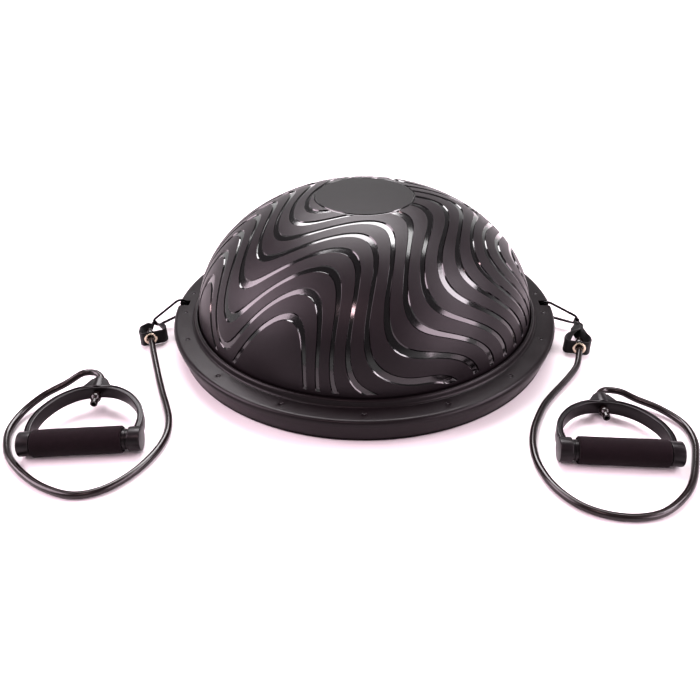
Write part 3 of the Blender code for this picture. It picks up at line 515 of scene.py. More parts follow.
def slope_height(x, y):
    """Height of the wavy slope at a place on the flattened dome; each whole number from 1 is a groove."""
    rise = (x + y) / math.sqrt(2) / 0.1
    run = (x - y) / math.sqrt(2) / 0.1
    wave = math.sin(WAVE_PHASE + WAVE_PER_RUN * run - WAVE_STRETCH * run ** 2)
    height = SLOPE_START + SLOPE_PER_RISE * (rise - WAVE_SWING * wave) + SLOPE_BEND * run ** 2
    for size, hill_rise, hill_run in HILLS:
        away = (rise - hill_rise) ** 2 + (run - hill_run) ** 2
        height += size * math.exp(-away / (2 * HILL_RADIUS ** 2))
    return height


def dome_outline():
    """Distance along the surface, radius and height, from the top to the dome's foot."""
    angles = np.linspace(0.0, math.pi / 2, 600)
    radius = DOME_RADIUS * np.sin(angles)
    height = DOME_WIDEST + DOME_RISE * np.cos(angles)
    distance = np.concatenate([[0.0], np.cumsum(np.hypot(np.diff(radius), np.diff(height)))])
    disc_radius = float(np.interp(DISC_RADIUS, distance, radius))
    disc_edge = float(np.interp(DISC_RADIUS, distance, height))
    flatter = disc_edge + DISC_RISE * (1 - (radius / disc_radius) ** 2)
    height = np.where(distance < DISC_RADIUS, flatter, height)
    foot = DOME_WIDEST - DOME_FOOT
    return (np.append(distance, distance[-1] + foot), np.append(radius, DOME_RADIUS - 0.0006),
            np.append(height, DOME_WIDEST - foot))


def wave_depth(height, distance):
    """How far the surface is sunk at a slope height, at a distance from the top."""
    nearest = max(1, round(height))
    side = (WAVE_HALF_WIDTH - abs(height - nearest)) / WAVE_WALL
    ends = min((distance - WAVES_START) / 0.0006, (WAVES_END - distance) / WAVE_RAMP)
    return WAVE_DEPTH * min(1.0, max(0.0, side)) * min(1.0, max(0.0, ends))


def disc_depth(distance):
    """How far the groove round the disc is sunk at a distance from the top."""
    half = DISC_GROOVE / 2
    side = (half - abs(distance - DISC_RADIUS - half)) / (0.35 * DISC_GROOVE)
    return DISC_GROOVE_DEPTH * min(1.0, max(0.0, side))


def on_groove(height):
    return abs(height - max(1, round(height))) < WAVE_HALF_WIDTH


def dome_grid(last):
    """Places on the flattened dome in circles, and the triangles between them."""
    disc = [DISC_RADIUS + DISC_GROOVE * share for share in (0.0, 0.35, 0.65, 1.0)]
    marks = disc + [WAVES_START, WAVES_END - WAVE_RAMP, WAVES_END, last]
    circles = sorted(marks + [d for d in np.arange(RING_SPACING, last, RING_SPACING)
                              if min(abs(d - mark) for mark in marks) > 0.0016])
    places = [(0.0, 0.0)]
    for distance in circles:
        for step in range(DOME_SEGMENTS):
            angle = 2 * math.pi * (step + 0.5) / DOME_SEGMENTS
            places.append((distance * math.cos(angle), distance * math.sin(angle)))
    triangles = []
    for step in range(DOME_SEGMENTS):
        beside = (step + 1) % DOME_SEGMENTS
        triangles.append((0, 1 + step, 1 + beside))
        for ring in range(len(circles) - 1):
            a, b = 1 + ring * DOME_SEGMENTS + step, 1 + ring * DOME_SEGMENTS + beside
            c, d = a + DOME_SEGMENTS, b + DOME_SEGMENTS
            triangles += [(a, c, d), (a, d, b)]
    return places, triangles


def split_at_grooves(places, triangles, slope):
    """Cut the triangles along the tops and feet of the groove walls; returns faces and their materials."""
    highest = int(max(slope)) + 1
    levels = sorted(number + offset for number in range(1, highest + 1)
                    for offset in (-WAVE_HALF_WIDTH, WAVE_WALL - WAVE_HALF_WIDTH,
                                   WAVE_HALF_WIDTH - WAVE_WALL, WAVE_HALF_WIDTH))
    crossings = {}

    def crossing(a, b, level):
        """The vertex where the edge a-b meets a level, made once."""
        key = (min(a, b), max(a, b), level)
        if key not in crossings:
            share = (levels[level] - slope[key[0]]) / (slope[key[1]] - slope[key[0]])
            (x0, y0), (x1, y1) = places[key[0]], places[key[1]]
            crossings[key] = len(places)
            places.append((x0 + (x1 - x0) * share, y0 + (y1 - y0) * share))
            slope.append(levels[level])
        return crossings[key]

    def band(corners, lower, upper):
        """The part of a triangle between two levels; None is no level on that side."""
        face = []
        for k in range(3):
            a, b = corners[k], corners[(k + 1) % 3]
            above = lower is None or slope[a] > levels[lower]
            below = upper is None or slope[a] < levels[upper]
            if above and below:
                face.append(a)
            met = [n for n in (lower, upper) if n is not None
                   and min(slope[a], slope[b]) < levels[n] < max(slope[a], slope[b])]
            met.sort(key=lambda n: levels[n], reverse=bool(slope[b] < slope[a]))
            face += [crossing(a, b, n) for n in met]
        return face

    faces, looks = [], []
    for corners in triangles:
        far = max(math.hypot(*places[i]) for i in corners)
        near = min(math.hypot(*places[i]) for i in corners)
        low, high = min(slope[i] for i in corners), max(slope[i] for i in corners)
        inside = [n for n, level in enumerate(levels) if low < level < high]
        if far < WAVES_START + 1e-6 or near > WAVES_END - 1e-6 or not inside:
            sunk = on_groove(sum(slope[i] for i in corners) / 3)
            waves = near > WAVES_START - 1e-6 and far < WAVES_END + 1e-6
            round_disc = DISC_RADIUS - 1e-6 < near and far < DISC_RADIUS + DISC_GROOVE + 1e-6
            faces.append(corners)
            if far < DISC_RADIUS + 1e-6:
                looks.append(DISC)
            else:
                looks.append(GLOSS if (waves and sunk) or round_disc else LAND)
            continue
        for lower, upper in zip([None] + inside, inside + [None]):
            face = band(corners, lower, upper)
            if len(face) >= 3:
                bottom = low if lower is None else levels[lower]
                top = high if upper is None else levels[upper]
                faces.append(face)
                looks.append(GLOSS if on_groove((bottom + top) / 2) else LAND)
    return faces, looks


def make_dome():
    """The hollow dome, with its grooves sunk in the outside and its flange inside the base."""
    distances, radii, heights = dome_outline()
    places, triangles = dome_grid(float(distances[-1]))
    above = len(places) - DOME_SEGMENTS
    slope = [slope_height(x, y) for x, y in places]
    faces, looks = split_at_grooves(places, triangles, slope)
    vertices = []
    for (x, y), height in zip(places, slope):
        distance = math.hypot(x, y)
        radius = float(np.interp(distance, distances, radii))
        z = float(np.interp(distance, distances, heights))
        angle = math.atan2(y, x)
        out = Vector((radius / DOME_RADIUS ** 2, 0.0, max(0.0, z - DOME_WIDEST) / DOME_RISE ** 2))
        out.normalize()
        sunk = max(wave_depth(height, distance), disc_depth(distance))
        radius, z = radius - out.x * sunk, z - out.z * sunk
        vertices.append((radius * math.cos(angle), radius * math.sin(angle), z))
    inner_radius, inner_rise = DOME_RADIUS - DOME_WALL, DOME_RISE - DOME_WALL
    disc_radius = float(np.interp(DISC_RADIUS, distances, radii))
    last_angle = math.acos(disc_radius / inner_radius)
    inside = [(0.2596, 0.0303), (0.2596, 0.0278), (0.2475, 0.0278)]
    inside += [(inner_radius * math.cos(angle), DOME_WIDEST + inner_rise * math.sin(angle))
               for angle in [last_angle * share / 10 for share in range(11)]]
    for radius, z in inside:
        below = len(vertices)
        for step in range(DOME_SEGMENTS):
            angle = 2 * math.pi * (step + 0.5) / DOME_SEGMENTS
            vertices.append((radius * math.cos(angle), radius * math.sin(angle), z))
        for step in range(DOME_SEGMENTS):
            beside = (step + 1) % DOME_SEGMENTS
            faces.append((above + step, below + step, below + beside, above + beside))
        above = below
    vertices.append((0.0, 0.0, inside[-1][1] + DISC_RISE))
    for step in range(DOME_SEGMENTS):
        faces.append((above + step, len(vertices) - 1, above + (step + 1) % DOME_SEGMENTS))

    dome = mesh_object("dome", vertices, faces)
    put(dome, "dome_pvc", "trainer", "dome_shell")
    dome.data.materials.append(MATERIALS["dome_gloss"])
    dome.data.materials.append(MATERIALS["dome_disc"])
    dome.data.polygons.foreach_set("material_index", looks + [LAND] * (len(faces) - len(looks)))
    finish_mesh(dome, 24.0)


# ---------------------------------------------------------------- base
RING_STEPS = 192
RING_TOP = 0.0365
RIM_RADIUS = 0.2900
RIM_FOOT_RADIUS = 0.2815
SKIRT_TOP = 0.0315
SKIRT_FOOT = 0.0045
SKIRT_BOTTOM = 0.0031
SEAT_TOP = 0.0275
SCREW_CIRCLE = 0.2735
SCREW_BESIDE_NOTCH = 6.2
SCREW_PITCH = 22.5


def screw_angles():
    """Screws stand at even pitch, with a close pair in place of the one at each notch; in radians."""
    angles = [SCREW_PITCH * step for step in range(16) if step % 8]
    for notch in (0.0, 180.0):
        angles += [notch - SCREW_BESIDE_NOTCH, notch + SCREW_BESIDE_NOTCH]
    return [math.radians(angle) for angle in sorted(angle % 360.0 for angle in angles)]


def screw_place(angle):
    return SCREW_CIRCLE * math.cos(angle), SCREW_CIRCLE * math.sin(angle)


def at_screws(name, make):
    """One mesh with make(x, y) at each screw's place."""
    return merged(name, [make(*screw_place(angle)) for angle in screw_angles()])


def edge_block(name, sign, radii, half_width, heights):
    """A block across the base's left (sign -1) or right (1) edge."""
    near, far = sorted((sign * radii[0], sign * radii[1]))
    return block(name, (near, -half_width, heights[0]), (far, half_width, heights[1]))


def ball(x, y, z, radius):
    """A sphere that presses one dimple."""
    outline = [(radius * math.sin(math.pi * step / 16), radius * math.cos(math.pi * step / 16))
               for step in range(17)]
    outline[0], outline[-1] = (0.0, radius), (0.0, -radius)
    return turned("ball", outline, 28, Matrix.Translation((x, y, z)))


def make_ring():
    """The base's upper half: lip round the dome, dimpled flat top, leaning skirt and two clip notches."""
    skirt = [(RIM_RADIUS - (RIM_RADIUS - RIM_FOOT_RADIUS) * share ** 1.25,
              SKIRT_TOP - (SKIRT_TOP - SKIRT_FOOT) * share)
             for share in (0.0, 0.15, 0.3, 0.45, 0.6, 0.75, 0.9, 1.0)]
    outline = [(0.2528, 0.0425), (0.2534, 0.0441), (0.2545, 0.0450), (0.2558, 0.0452), (0.2571, 0.0449),
               (0.2581, 0.0441), (0.2589, 0.0428), (0.2595, 0.0408), (0.2600, 0.0388), (0.2607, 0.0375),
               (0.2618, 0.0367), (0.2635, RING_TOP), (0.2838, RING_TOP), (0.2858, 0.0363), (0.2874, 0.0357),
               (0.2887, 0.0347), (0.2896, 0.0333)] + skirt
    outline += [(RIM_FOOT_RADIUS - 0.0004, SKIRT_BOTTOM + 0.0003), (RIM_FOOT_RADIUS - 0.0010, SKIRT_BOTTOM),
                (RIM_FOOT_RADIUS - 0.0030, SKIRT_BOTTOM), (0.2860, 0.0300), (0.2835, 0.0335),
                (0.2765, 0.0335), (0.2765, SEAT_TOP + GAP), (0.2685, SEAT_TOP + GAP),
                (0.2685, 0.0335), (0.2635, 0.0335), (0.2630, DOME_FOOT), (0.2524, DOME_FOOT)]
    ring = turned("base_ring", outline, RING_STEPS)
    for sign in (-1, 1):
        cheek = edge_block("cheek", sign, (0.2770, 0.2840), 0.0115, (0.0180, 0.0345))
        ring = cut(ring, cheek, "UNION")
    for sign in (-1, 1):
        ring = cut(ring, edge_block("notch", sign, (0.2725, 0.2960), 0.0070, (0.0060, 0.0500)))
        ring = cut(ring, rod("bar_hole", 0.0028, (sign * ANCHOR_RADIUS, -0.02, ANCHOR_HEIGHT),
                             (sign * ANCHOR_RADIUS, 0.02, ANCHOR_HEIGHT)))
    ring = cut(ring, at_screws("holes", lambda x, y: rod("hole", 0.0020, (x, y, 0.02), (x, y, 0.0338), 12)))
    ring = cut(ring, at_screws("dimples", lambda x, y: ball(x, y, RING_TOP + 0.0050, 0.0062)))
    put(ring, "base_plastic", "trainer", "top_ring")


def make_pan():
    """The base plate, with seats for the dome's flange and the screws."""
    outline = [(0.0, 0.0050), (0.2490, 0.0050), (0.2490, SEAT_TOP), (0.2600, SEAT_TOP), (0.2600, 0.0050),
               (0.2685, 0.0050), (0.2685, SEAT_TOP), (0.2765, SEAT_TOP), (0.2765, 0.0028), (0.2812, 0.0028),
               (0.2815, 0.0025), (0.2813, 0.0014), (0.2808, 0.0010), (0.2623, 0.0010), (0.2623, 0.0025),
               (0.2397, 0.0025), (0.2397, 0.0010), (0.0503, 0.0010), (0.0503, 0.0025), (0.0, 0.0025)]
    pan = turned("base_plate", outline, RING_STEPS)
    for sign in (-1, 1):
        pan = cut(pan, edge_block("notch", sign, (0.2718, 0.2790), 0.0078, (0.0053, 0.0320)))
    pan = cut(pan, at_screws("heads", lambda x, y: rod("head", 0.0031, (x, y, -0.005), (x, y, 0.0040), 20)))
    pan = cut(pan, at_screws("holes", lambda x, y: rod("hole", 0.0020, (x, y, 0.0025), (x, y, 0.0400), 12)))
    pan = cut(pan, rod("valve_hole", 0.0128, (*VALVE_PLACE, -0.01), (*VALVE_PLACE, 0.01), 48))
    put(pan, "base_plastic", "trainer", "base_pan")


def make_pads():
    """Rubber feet with concentric grip grooves in their faces."""
    pitch = 0.0040

    def grooved(inner, outer):
        face = []
        for number in range(1, int((outer - inner) / pitch)):
            middle = outer - pitch * number
            face += [(middle + 0.0008, 0.0), (middle + 0.0005, 0.0005), (middle - 0.0005, 0.0005),
                     (middle - 0.0008, 0.0)]
        top = [(inner, 0.0022), (outer - 0.0004, 0.0022), (outer, 0.0018), (outer, 0.0005),
               (outer - 0.0005, 0.0)]
        return top + face + ([(inner + 0.0005, 0.0), (inner, 0.0005)] if inner else [(0.0, 0.0)])

    pad = turned("centre_foot", grooved(0.0, 0.0500), 96)
    ring = turned("foot_ring", grooved(0.2400, 0.2620), RING_STEPS)
    put(pad, "grip_rubber", "trainer", "centre_pad")
    put(ring, "grip_rubber", "trainer", "grip_ring")


def make_screws():
    """Pan-head screws with a crossed recess, up through the base plate."""
    for number, angle in enumerate(screw_angles(), 1):
        x, y = screw_place(angle)
        outline = rounded([(0.0, 0.0335), (0.0010, 0.0335), (0.0017, 0.0318), (0.0017, 0.0040),
                           (0.0027, 0.0040), (0.0027, 0.0024), (0.0019, 0.0019), (0.0, 0.0019)], 0.0003, 2)
        screw = turned(f"screw_{number:02d}", outline, 20, Matrix.Translation((x, y, 0.0)))
        for turn in (0.0, math.pi / 2):
            slot = block("slot", (-0.0013, -0.00028, 0.0010), (0.0013, 0.00028, 0.0030))
            slot.data.transform(Matrix.Translation((x, y, 0.0)) @ Matrix.Rotation(angle + turn, 4, "Z"))
            screw = cut(screw, slot)
        put(screw, "screw_steel", "trainer", f"clamp_screw_{number:02d}")


def make_valve():
    """The filling valve under the base: a rubber seat and the plug pushed into it."""
    matrix = Matrix.Translation((*VALVE_PLACE, 0.0))
    seat = [(0.0150, 0.0075), (0.0165, 0.0068), (0.0165, 0.0053), (0.0125, 0.0053), (0.0125, 0.0012),
            (0.0086, 0.0012), (0.0086, 0.0036), (0.0045, 0.0036), (0.0045, 0.0115), (0.0070, 0.0115),
            (0.0090, 0.0075)]
    plug = [(0.0, 0.0125), (0.0022, 0.0125), (0.0042, 0.0100), (0.0042, 0.0033), (0.0080, 0.0033),
            (0.0080, 0.0018), (0.0068, 0.0012), (0.0052, 0.0012), (0.0048, 0.0016), (0.0018, 0.0016),
            (0.0014, 0.0012), (0.0, 0.0012)]
    for name, outline, node, body in (("valve_rubber_seat", seat, "valve_seat", "trainer"),
                                      ("valve_rubber_plug", plug, "valve_plug", "valve_plug")):
        put(turned(name, rounded(outline, 0.0004), 64, matrix), "grip_rubber", body, node)


# ---------------------------------------------------------------- clips
def clip_matrix(side):
    """Frame at the hook arc's centre: X along the clip to its strap end, Y across it, upwards."""
    clip = CLIPS[side]
    droop = math.radians(clip["droop"])
    yaw = math.radians(CLIP_YAW)
    outward = clip["side"] * math.cos(yaw)
    x_axis = Vector((math.cos(droop) * outward, -math.cos(droop) * math.sin(yaw), -math.sin(droop)))
    y_axis = Vector((math.sin(droop) * outward, -math.sin(droop) * math.sin(yaw), math.cos(droop)))
    forward, across, sideways = clip["offset"]
    bar = Vector((clip["side"] * ANCHOR_RADIUS, 0.0, ANCHOR_HEIGHT))
    origin = bar + forward * x_axis + across * y_axis + Vector((0.0, sideways, 0.0))
    return frame_matrix(origin, x_axis, y_axis)


def clip_taper():
    """How much each straight leg of the clip leans in, in radians."""
    return math.asin((CLIP_WIDE_RADIUS - CLIP_NARROW_RADIUS) / CLIP_CENTRES)


def lower_leg_point(distance):
    """Point on the clip's lower leg, which its gate closes."""
    taper = clip_taper()
    start = Vector((CLIP_WIDE_RADIUS * math.sin(taper), -CLIP_WIDE_RADIUS * math.cos(taper), 0.0))
    return start + distance * Vector((math.cos(taper), math.sin(taper), 0.0))


def arc(centre_x, radius, start, end, pieces):
    """Points on an arc about a centre on the X axis, between two angles in degrees."""
    angles = [math.radians(start + (end - start) * step / pieces) for step in range(pieces + 1)]
    return [Vector((centre_x + radius * math.cos(angle), radius * math.sin(angle), 0.0))
            for angle in angles]


def swept(name, line, radius, sides=20, ease=0.35):
    """A round wire along a flat line in the XY plane, its two ends eased round."""
    vertices, rings = [], []
    for i, point in enumerate(line):
        tangent = (line[min(i + 1, len(line) - 1)] - line[max(i - 1, 0)]).normalized()
        side = Vector((tangent.y, -tangent.x, 0.0))
        rings.append((point, tangent, side, radius))
    first, last = rings[0], rings[-1]
    cap = [(ease * radius * share, radius * math.sqrt(1 - (share * 0.85) ** 2))
           for share in (1.0, 0.75, 0.45)]
    rings = ([(first[0] - first[1] * away, first[1], first[2], r) for away, r in cap] + rings
             + [(last[0] + last[1] * away, last[1], last[2], r) for away, r in cap[::-1]])
    for point, _, side, r in rings:
        for step in range(sides):
            angle = 2 * math.pi * step / sides
            vertices.append(point + r * (side * math.cos(angle) + Vector((0.0, 0.0, math.sin(angle)))))
    return finish_mesh(mesh_object(name, vertices, tube_faces(len(rings), sides)), 50.0)


def make_clip(side):
    """The snap clip's bent wire, its spring gate and the rivet that the gate turns on."""
    frame_of_clip = clip_matrix(side)
    taper = math.degrees(clip_taper())
    hinge = lower_leg_point(HINGE_DISTANCE)
    leg_turn = Matrix.Translation(hinge) @ Matrix.Rotation(clip_taper(), 4, "Z")
    wire = [lower_leg_point(HINGE_DISTANCE + 0.0033 + extra) for extra in (0.0, 0.0008)]
    wire += arc(CLIP_CENTRES, CLIP_NARROW_RADIUS, taper - 90.0, 90.0 - taper, 28)
    straight = arc(0.0, CLIP_WIDE_RADIUS, 90.0 - taper, 262.0, 44)
    wire += [wire[-1].lerp(straight[0], share / 8) for share in range(1, 8)] + straight
    body = swept(f"clip_wire_{side}", wire, WIRE_RADIUS)
    tongue = block("tongue", (-0.0016, -0.0015, -0.0009), (0.0046, 0.0015, 0.0009))
    tongue.data.transform(leg_turn)
    body = cut(body, tongue, "UNION", 40.0)
    hole = rod("hole", GATE_PIN_RADIUS + GAP, (*hinge[:2], -0.01), (*hinge[:2], 0.01))
    body = cut(body, hole, sharp=40.0)
    gate_line = [Vector((-HINGE_DISTANCE - 0.0004 + (HINGE_DISTANCE + 0.0018) * share / 10, 0.0, 0.0))
                 for share in range(11)]
    gate = swept(f"clip_spring_gate_{side}", gate_line, GATE_RADIUS, ease=0.15)
    fork = block("fork", (-0.0026, -0.0100, -GATE_FORK_HALF), (0.0100, 0.0100, GATE_FORK_HALF))
    gate = cut(gate, fork, sharp=40.0)
    hole = rod("hole", GATE_PIN_RADIUS + GAP, (0.0, 0.0, -0.01), (0.0, 0.0, 0.01))
    gate = cut(gate, hole, sharp=40.0)
    gate.data.transform(leg_turn)
    rivet = rounded([(0.0, -0.0019), (GATE_PIN_RADIUS, -0.0019), (GATE_PIN_RADIUS, 0.0019), (0.0, 0.0019)],
                    0.0003)
    pin = turned(f"clip_rivet_{side}", rivet, 20, leg_turn)
    for piece, node, moving in ((body, "clip_body", "trainer"), (gate, "clip_gate", f"{side}_gate"),
                                (pin, "gate_pin", "trainer")):
        piece.data.transform(frame_of_clip)
        put(piece, "clip_steel", moving, f"{node}_{side}")


def make_anchor_bar(side):
    """The steel bar across a notch that the clip hooks round."""
    x = CLIPS[side]["side"] * ANCHOR_RADIUS
    outline = rounded([(0.0, -0.0105), (0.0025, -0.0105), (0.0025, 0.0105), (0.0, 0.0105)], 0.0005)
    turn = Matrix.Translation((x, 0.0, ANCHOR_HEIGHT)) @ Matrix.Rotation(-math.pi / 2, 4, "X")
    put(turned(f"notch_bar_{side}", outline, 32, turn), "clip_steel", "trainer", f"anchor_bar_{side}")


# ---------------------------------------------------------------- straps and eyelets
def smooth_step(value, low, high):
    share = min(1.0, max(0.0, (value - low) / (high - low)))
    return share * share * (3.0 - 2.0 * share)


def strap_width(share):
    """The webbing's width at a share of the way from its eyelet to the clip, before it is gathered."""
    return STRAP_WIDTH - 0.0060 * smooth_step(share, 0.35, 0.75)


def strap_up(share, lean):
    angle = lean * smooth_step(share, 0.30, 0.65)
    return Vector((math.sin(angle), 0.0, math.cos(angle)))


def make_strap(side):
    """A loop of ribbed webbing with bound edges and stitching, gathered round the clip's wire."""
    eyelet = eyelet_matrix(side)
    tip = eyelet.inverted() @ (clip_matrix(side) @ Vector((CLIP_CENTRES + CLIP_NARROW_RADIUS, 0.0, 0.0)))
    wire = (eyelet.inverted() @ clip_matrix(side)).to_3x3()
    along_wire = wire @ Vector((0.0, 1.0, 0.0))
    centre = tip - 0.0003 * (wire @ Vector((1.0, 0.0, 0.0)))
    across = (Vector((1.0, 0.0, 0.0)) - along_wire.x * along_wire).normalized()
    back = along_wire.cross(across)
    reach = WIRE_RADIUS + 0.0006 + STRAP_THICKNESS / 2
    turn_back = [centre + reach * (across * math.cos(angle) + back * math.sin(angle))
                 for angle in [math.radians(degrees) for degrees in range(180, -1, -10)]]
    outline = [(x, y, tip.z * max(0.0, y / tip.y)) for x, y in STRAPS[side]["outline"]]
    line = turn_back + smooth_line(turn_back[-1:] + outline + turn_back[:1], 0.0006)[1:-1]
    lean = math.radians(STRAPS[side]["lean"])
    half = STRAP_THICKNESS / 2
    # The webbing's section as (share of the half width, half thickness there): thin round edges with
    # lengthwise ribs between them.
    section = [(1.0, 0.30 * half), (0.985, 0.72 * half), (0.95, 0.98 * half), (0.90, 0.86 * half)]
    ribs = 10
    for step in range(1, 2 * ribs):
        section.append((0.90 - 0.90 * step / ribs, half * (0.98 if step % 2 else 0.84)))
    section += [(-a, t) for a, t in section[3::-1]]
    ring_points = section + [(a, -t) for a, t in section[::-1]]
    vertices, faces = [], []
    lengths = [0.0]
    for point, following in zip(line, line[1:] + line[:1]):
        lengths.append(lengths[-1] + (following - point).length)
    for i, point in enumerate(line):
        share = point.y / tip.y
        tangent = (line[(i + 1) % len(line)] - line[i - 1]).normalized()
        gather = smooth_step(share, 0.74, 0.92)
        width = strap_width(share) - 0.0106 * gather
        up = strap_up(share, lean).lerp(along_wire, gather)
        out = tangent.cross(up).normalized()
        up = out.cross(tangent)
        weft = 1.0 - 0.05 * (1 + math.sin(lengths[i] * 2 * math.pi / 0.0018)) / 2
        vertices += [point + a * up * width / 2 + t * weft * out for a, t in ring_points]
    count = len(ring_points)
    places = []
    for i in range(len(line)):
        here, there = i * count, (i + 1) % len(line) * count
        for k in range(count):
            beside = (k + 1) % count
            faces.append((here + k, here + beside, there + beside, there + k))
            low, high = (ring_points[n][0] * STRAP_WIDTH / 2 for n in (k, beside))
            places += [(lengths[i], low), (lengths[i], high), (lengths[i + 1], high), (lengths[i + 1], low)]
    strap = mesh_object(f"webbing_loop_{side}", vertices, faces)
    flat = [value for place in places for value in place]
    strap.data.uv_layers.new(name="webbing").data.foreach_set("uv", flat)
    finish_mesh(strap, 60.0)
    hole = rod("hole", GROMMET_BARREL_RADIUS + GAP, (0.0, -0.004, 0.0), (0.0, 0.004, 0.0), 48)
    strap = cut(strap, hole, sharp=60.0)
    strap.data.transform(eyelet)
    put(strap, "strap_webbing", "trainer", f"strap_{side}")
    make_stitching(side, line, tip, lean, eyelet)


def make_stitching(side, line, tip, lean, eyelet):
    """Two rows of thread near the webbing's edges on the outside of the loop."""
    pieces = []
    stitch, gap = 0.0026, 0.0010
    for row in (-0.80, 0.80):
        travelled, last_start = 0.0, -1.0
        for i in range(1, len(line) - 1):
            point = line[i]
            share = point.y / tip.y
            travelled += (point - line[i - 1]).length
            if share > 0.72 or travelled - last_start < stitch + gap:
                continue
            last_start = travelled
            tangent = (line[i + 1] - line[i - 1]).normalized()
            up = strap_up(share, lean)
            out = tangent.cross(up).normalized()
            up = out.cross(tangent)
            width = strap_width(share)
            outwards = 1.0 if out.dot(point - Vector((0.0, tip.y / 2, point.z))) > 0 else -1.0
            middle = point + row * up * width / 2 + outwards * out * (STRAP_THICKNESS / 2 + 0.00005)
            ends = [middle - tangent * stitch / 2 - outwards * out * 0.0003, middle - tangent * stitch / 4,
                    middle + tangent * stitch / 4, middle + tangent * stitch / 2 - outwards * out * 0.0003]
            pieces.append(thread(ends))
    stitching = merged(f"webbing_stitches_{side}", pieces)
    stitching.data.transform(eyelet)
    finish_mesh(stitching, 60.0)
    add(stitching, "strap_webbing", "stitch_thread")
    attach(stitching, "trainer")


def thread(points, radius=0.00022, sides=6):
    """One stitch along a line, thinner at its two ends."""
    vertices = []
    for i, point in enumerate(points):
        tangent = (points[min(i + 1, len(points) - 1)] - points[max(i - 1, 0)]).normalized()
        side = tangent.orthogonal().normalized()
        other = tangent.cross(side)
        r = radius * (0.5 if i in (0, len(points) - 1) else 1.0)
        for step in range(sides):
            angle = 2 * math.pi * step / sides
            vertices.append(point + r * (side * math.cos(angle) + other * math.sin(angle)))
    return mesh_object("thread", vertices, tube_faces(len(points), sides))


def make_eyelet(side):
    """The rolled metal eyelet through the webbing and the loose ring behind it."""
    face = STRAP_THICKNESS / 2 + GAP
    bore, flange, barrel = HOSE_BORE_RADIUS, GROMMET_FLANGE_RADIUS, GROMMET_BARREL_RADIUS
    curl = face + 0.0011
    outline = [(barrel + 0.0012, curl + 0.0002), (barrel + 0.0012, curl), (barrel, curl), (barrel, -face),
               (flange, -face), (flange, -face - 0.0005), (flange - 0.0012, -face - 0.0011),
               (barrel + 0.0006, -face - 0.0011), (barrel - 0.0004, -face - 0.0009), (bore, -face - 0.0002),
               (bore, curl + 0.0008), (barrel, curl + 0.0008)]
    turn = eyelet_matrix(side) @ Matrix.Rotation(-math.pi / 2, 4, "X")
    eyelet = turned(f"rolled_eyelet_{side}", rounded(outline, 0.0005), 72, turn)
    put(eyelet, "eyelet_metal", "trainer", f"eyelet_{side}")
    washer = [(barrel + GAP, curl - GAP), (flange, curl - GAP), (flange, face), (barrel + GAP, face)]
    washer = turned(f"eyelet_back_ring_{side}", rounded(washer, 0.0002), 72, turn)
    put(washer, "eyelet_metal", "trainer", f"eyelet_washer_{side}")


# ---------------------------------------------------------------- hose ends
def make_hose_end(place, side, matrix):
    """The swollen end of a hose with the ball that is pushed into it, its neck at the matrix's origin."""
    bore = 0.0026
    ball_at = 0.0085
    cavity = 0.0052
    neck = math.degrees(math.asin(HOSE_RADIUS / BALL_RADIUS))
    mouth = math.degrees(math.asin(bore / cavity))
    tail_end = ball_at + BALL_RADIUS * math.cos(math.radians(neck)) + TAIL_LENGTH

    def sphere(radius, start, end, pieces):
        angles = [math.radians(start + (end - start) * step / pieces) for step in range(pieces + 1)]
        return [(radius * math.sin(angle), ball_at + radius * math.cos(angle)) for angle in angles]

    outer = [(bore + 0.0004, tail_end), (HOSE_RADIUS - 0.0008, tail_end),
             (HOSE_RADIUS - 0.0002, tail_end - 0.0003), (HOSE_RADIUS, tail_end - 0.0010),
             (HOSE_RADIUS, tail_end - TAIL_LENGTH + 0.0012)]
    outer += sphere(BALL_RADIUS, neck + 6.0, 174.0 - neck, 20) + [(HOSE_RADIUS, 0.0012), (HOSE_RADIUS, 0.0)]
    inner = [(bore, 0.0)] + sphere(cavity, 180.0 - mouth, mouth, 12) + [(bore, tail_end - 0.0004)]
    end = turned(f"hose_tail_{place}_{side}", outer + inner, 48, matrix, 50.0)
    ball_line = sphere(cavity - GAP - 0.0006, 0.0, 180.0, 16)
    ball_line[0], ball_line[-1] = (0.0, ball_line[0][1]), (0.0, ball_line[-1][1])
    plug = turned(f"hose_ball_{place}_{side}", ball_line, 32, matrix)
    return [put(end, "hose_rubber", "trainer", f"hose_end_{place}_{side}"),
            put(plug, "yoke_plastic", "trainer", f"{place}_plug_{side}")]


# ---------------------------------------------------------------- handles
def arm_section():
    """The arm's section as (outwards, up): rounded corners, and a shallow channel along each edge face."""
    a, b, r = ARM_HALF_THICKNESS, ARM_HALF_DEPTH, 0.0011
    quarter = [(a, b - r), (a - 0.12 * r, b - 0.55 * r), (a - 0.42 * r, b - 0.2 * r), (a - r, b),
               (0.0022, b), (0.0020, b - 0.0002), (0.0017, b - 0.0013), (0.0, b - 0.0013)]
    upper = quarter + [(-x, z) for x, z in quarter[-2::-1]]
    return upper + [(x, -z) for x, z in upper[::-1]]


def make_arm():
    """The bent arm from cup to cup, its second half mirrored from the first."""
    half = [Vector((u, v, 0.0)) for u, v in ARM_LINE]
    mirrored = [Vector((-point.x, point.y, 0.0)) for point in half[-2::-1]]
    line = smooth_line(half + mirrored, 0.0022)
    section = arm_section()
    vertices = []
    for i, point in enumerate(line):
        tangent = (line[min(i + 1, len(line) - 1)] - line[max(i - 1, 0)]).normalized()
        side = Vector((tangent.y, -tangent.x, 0.0))
        vertices += [point + side * x + Vector((0.0, 0.0, z)) for x, z in section]
    return finish_mesh(mesh_object("arm", vertices, tube_faces(len(line), len(section))))


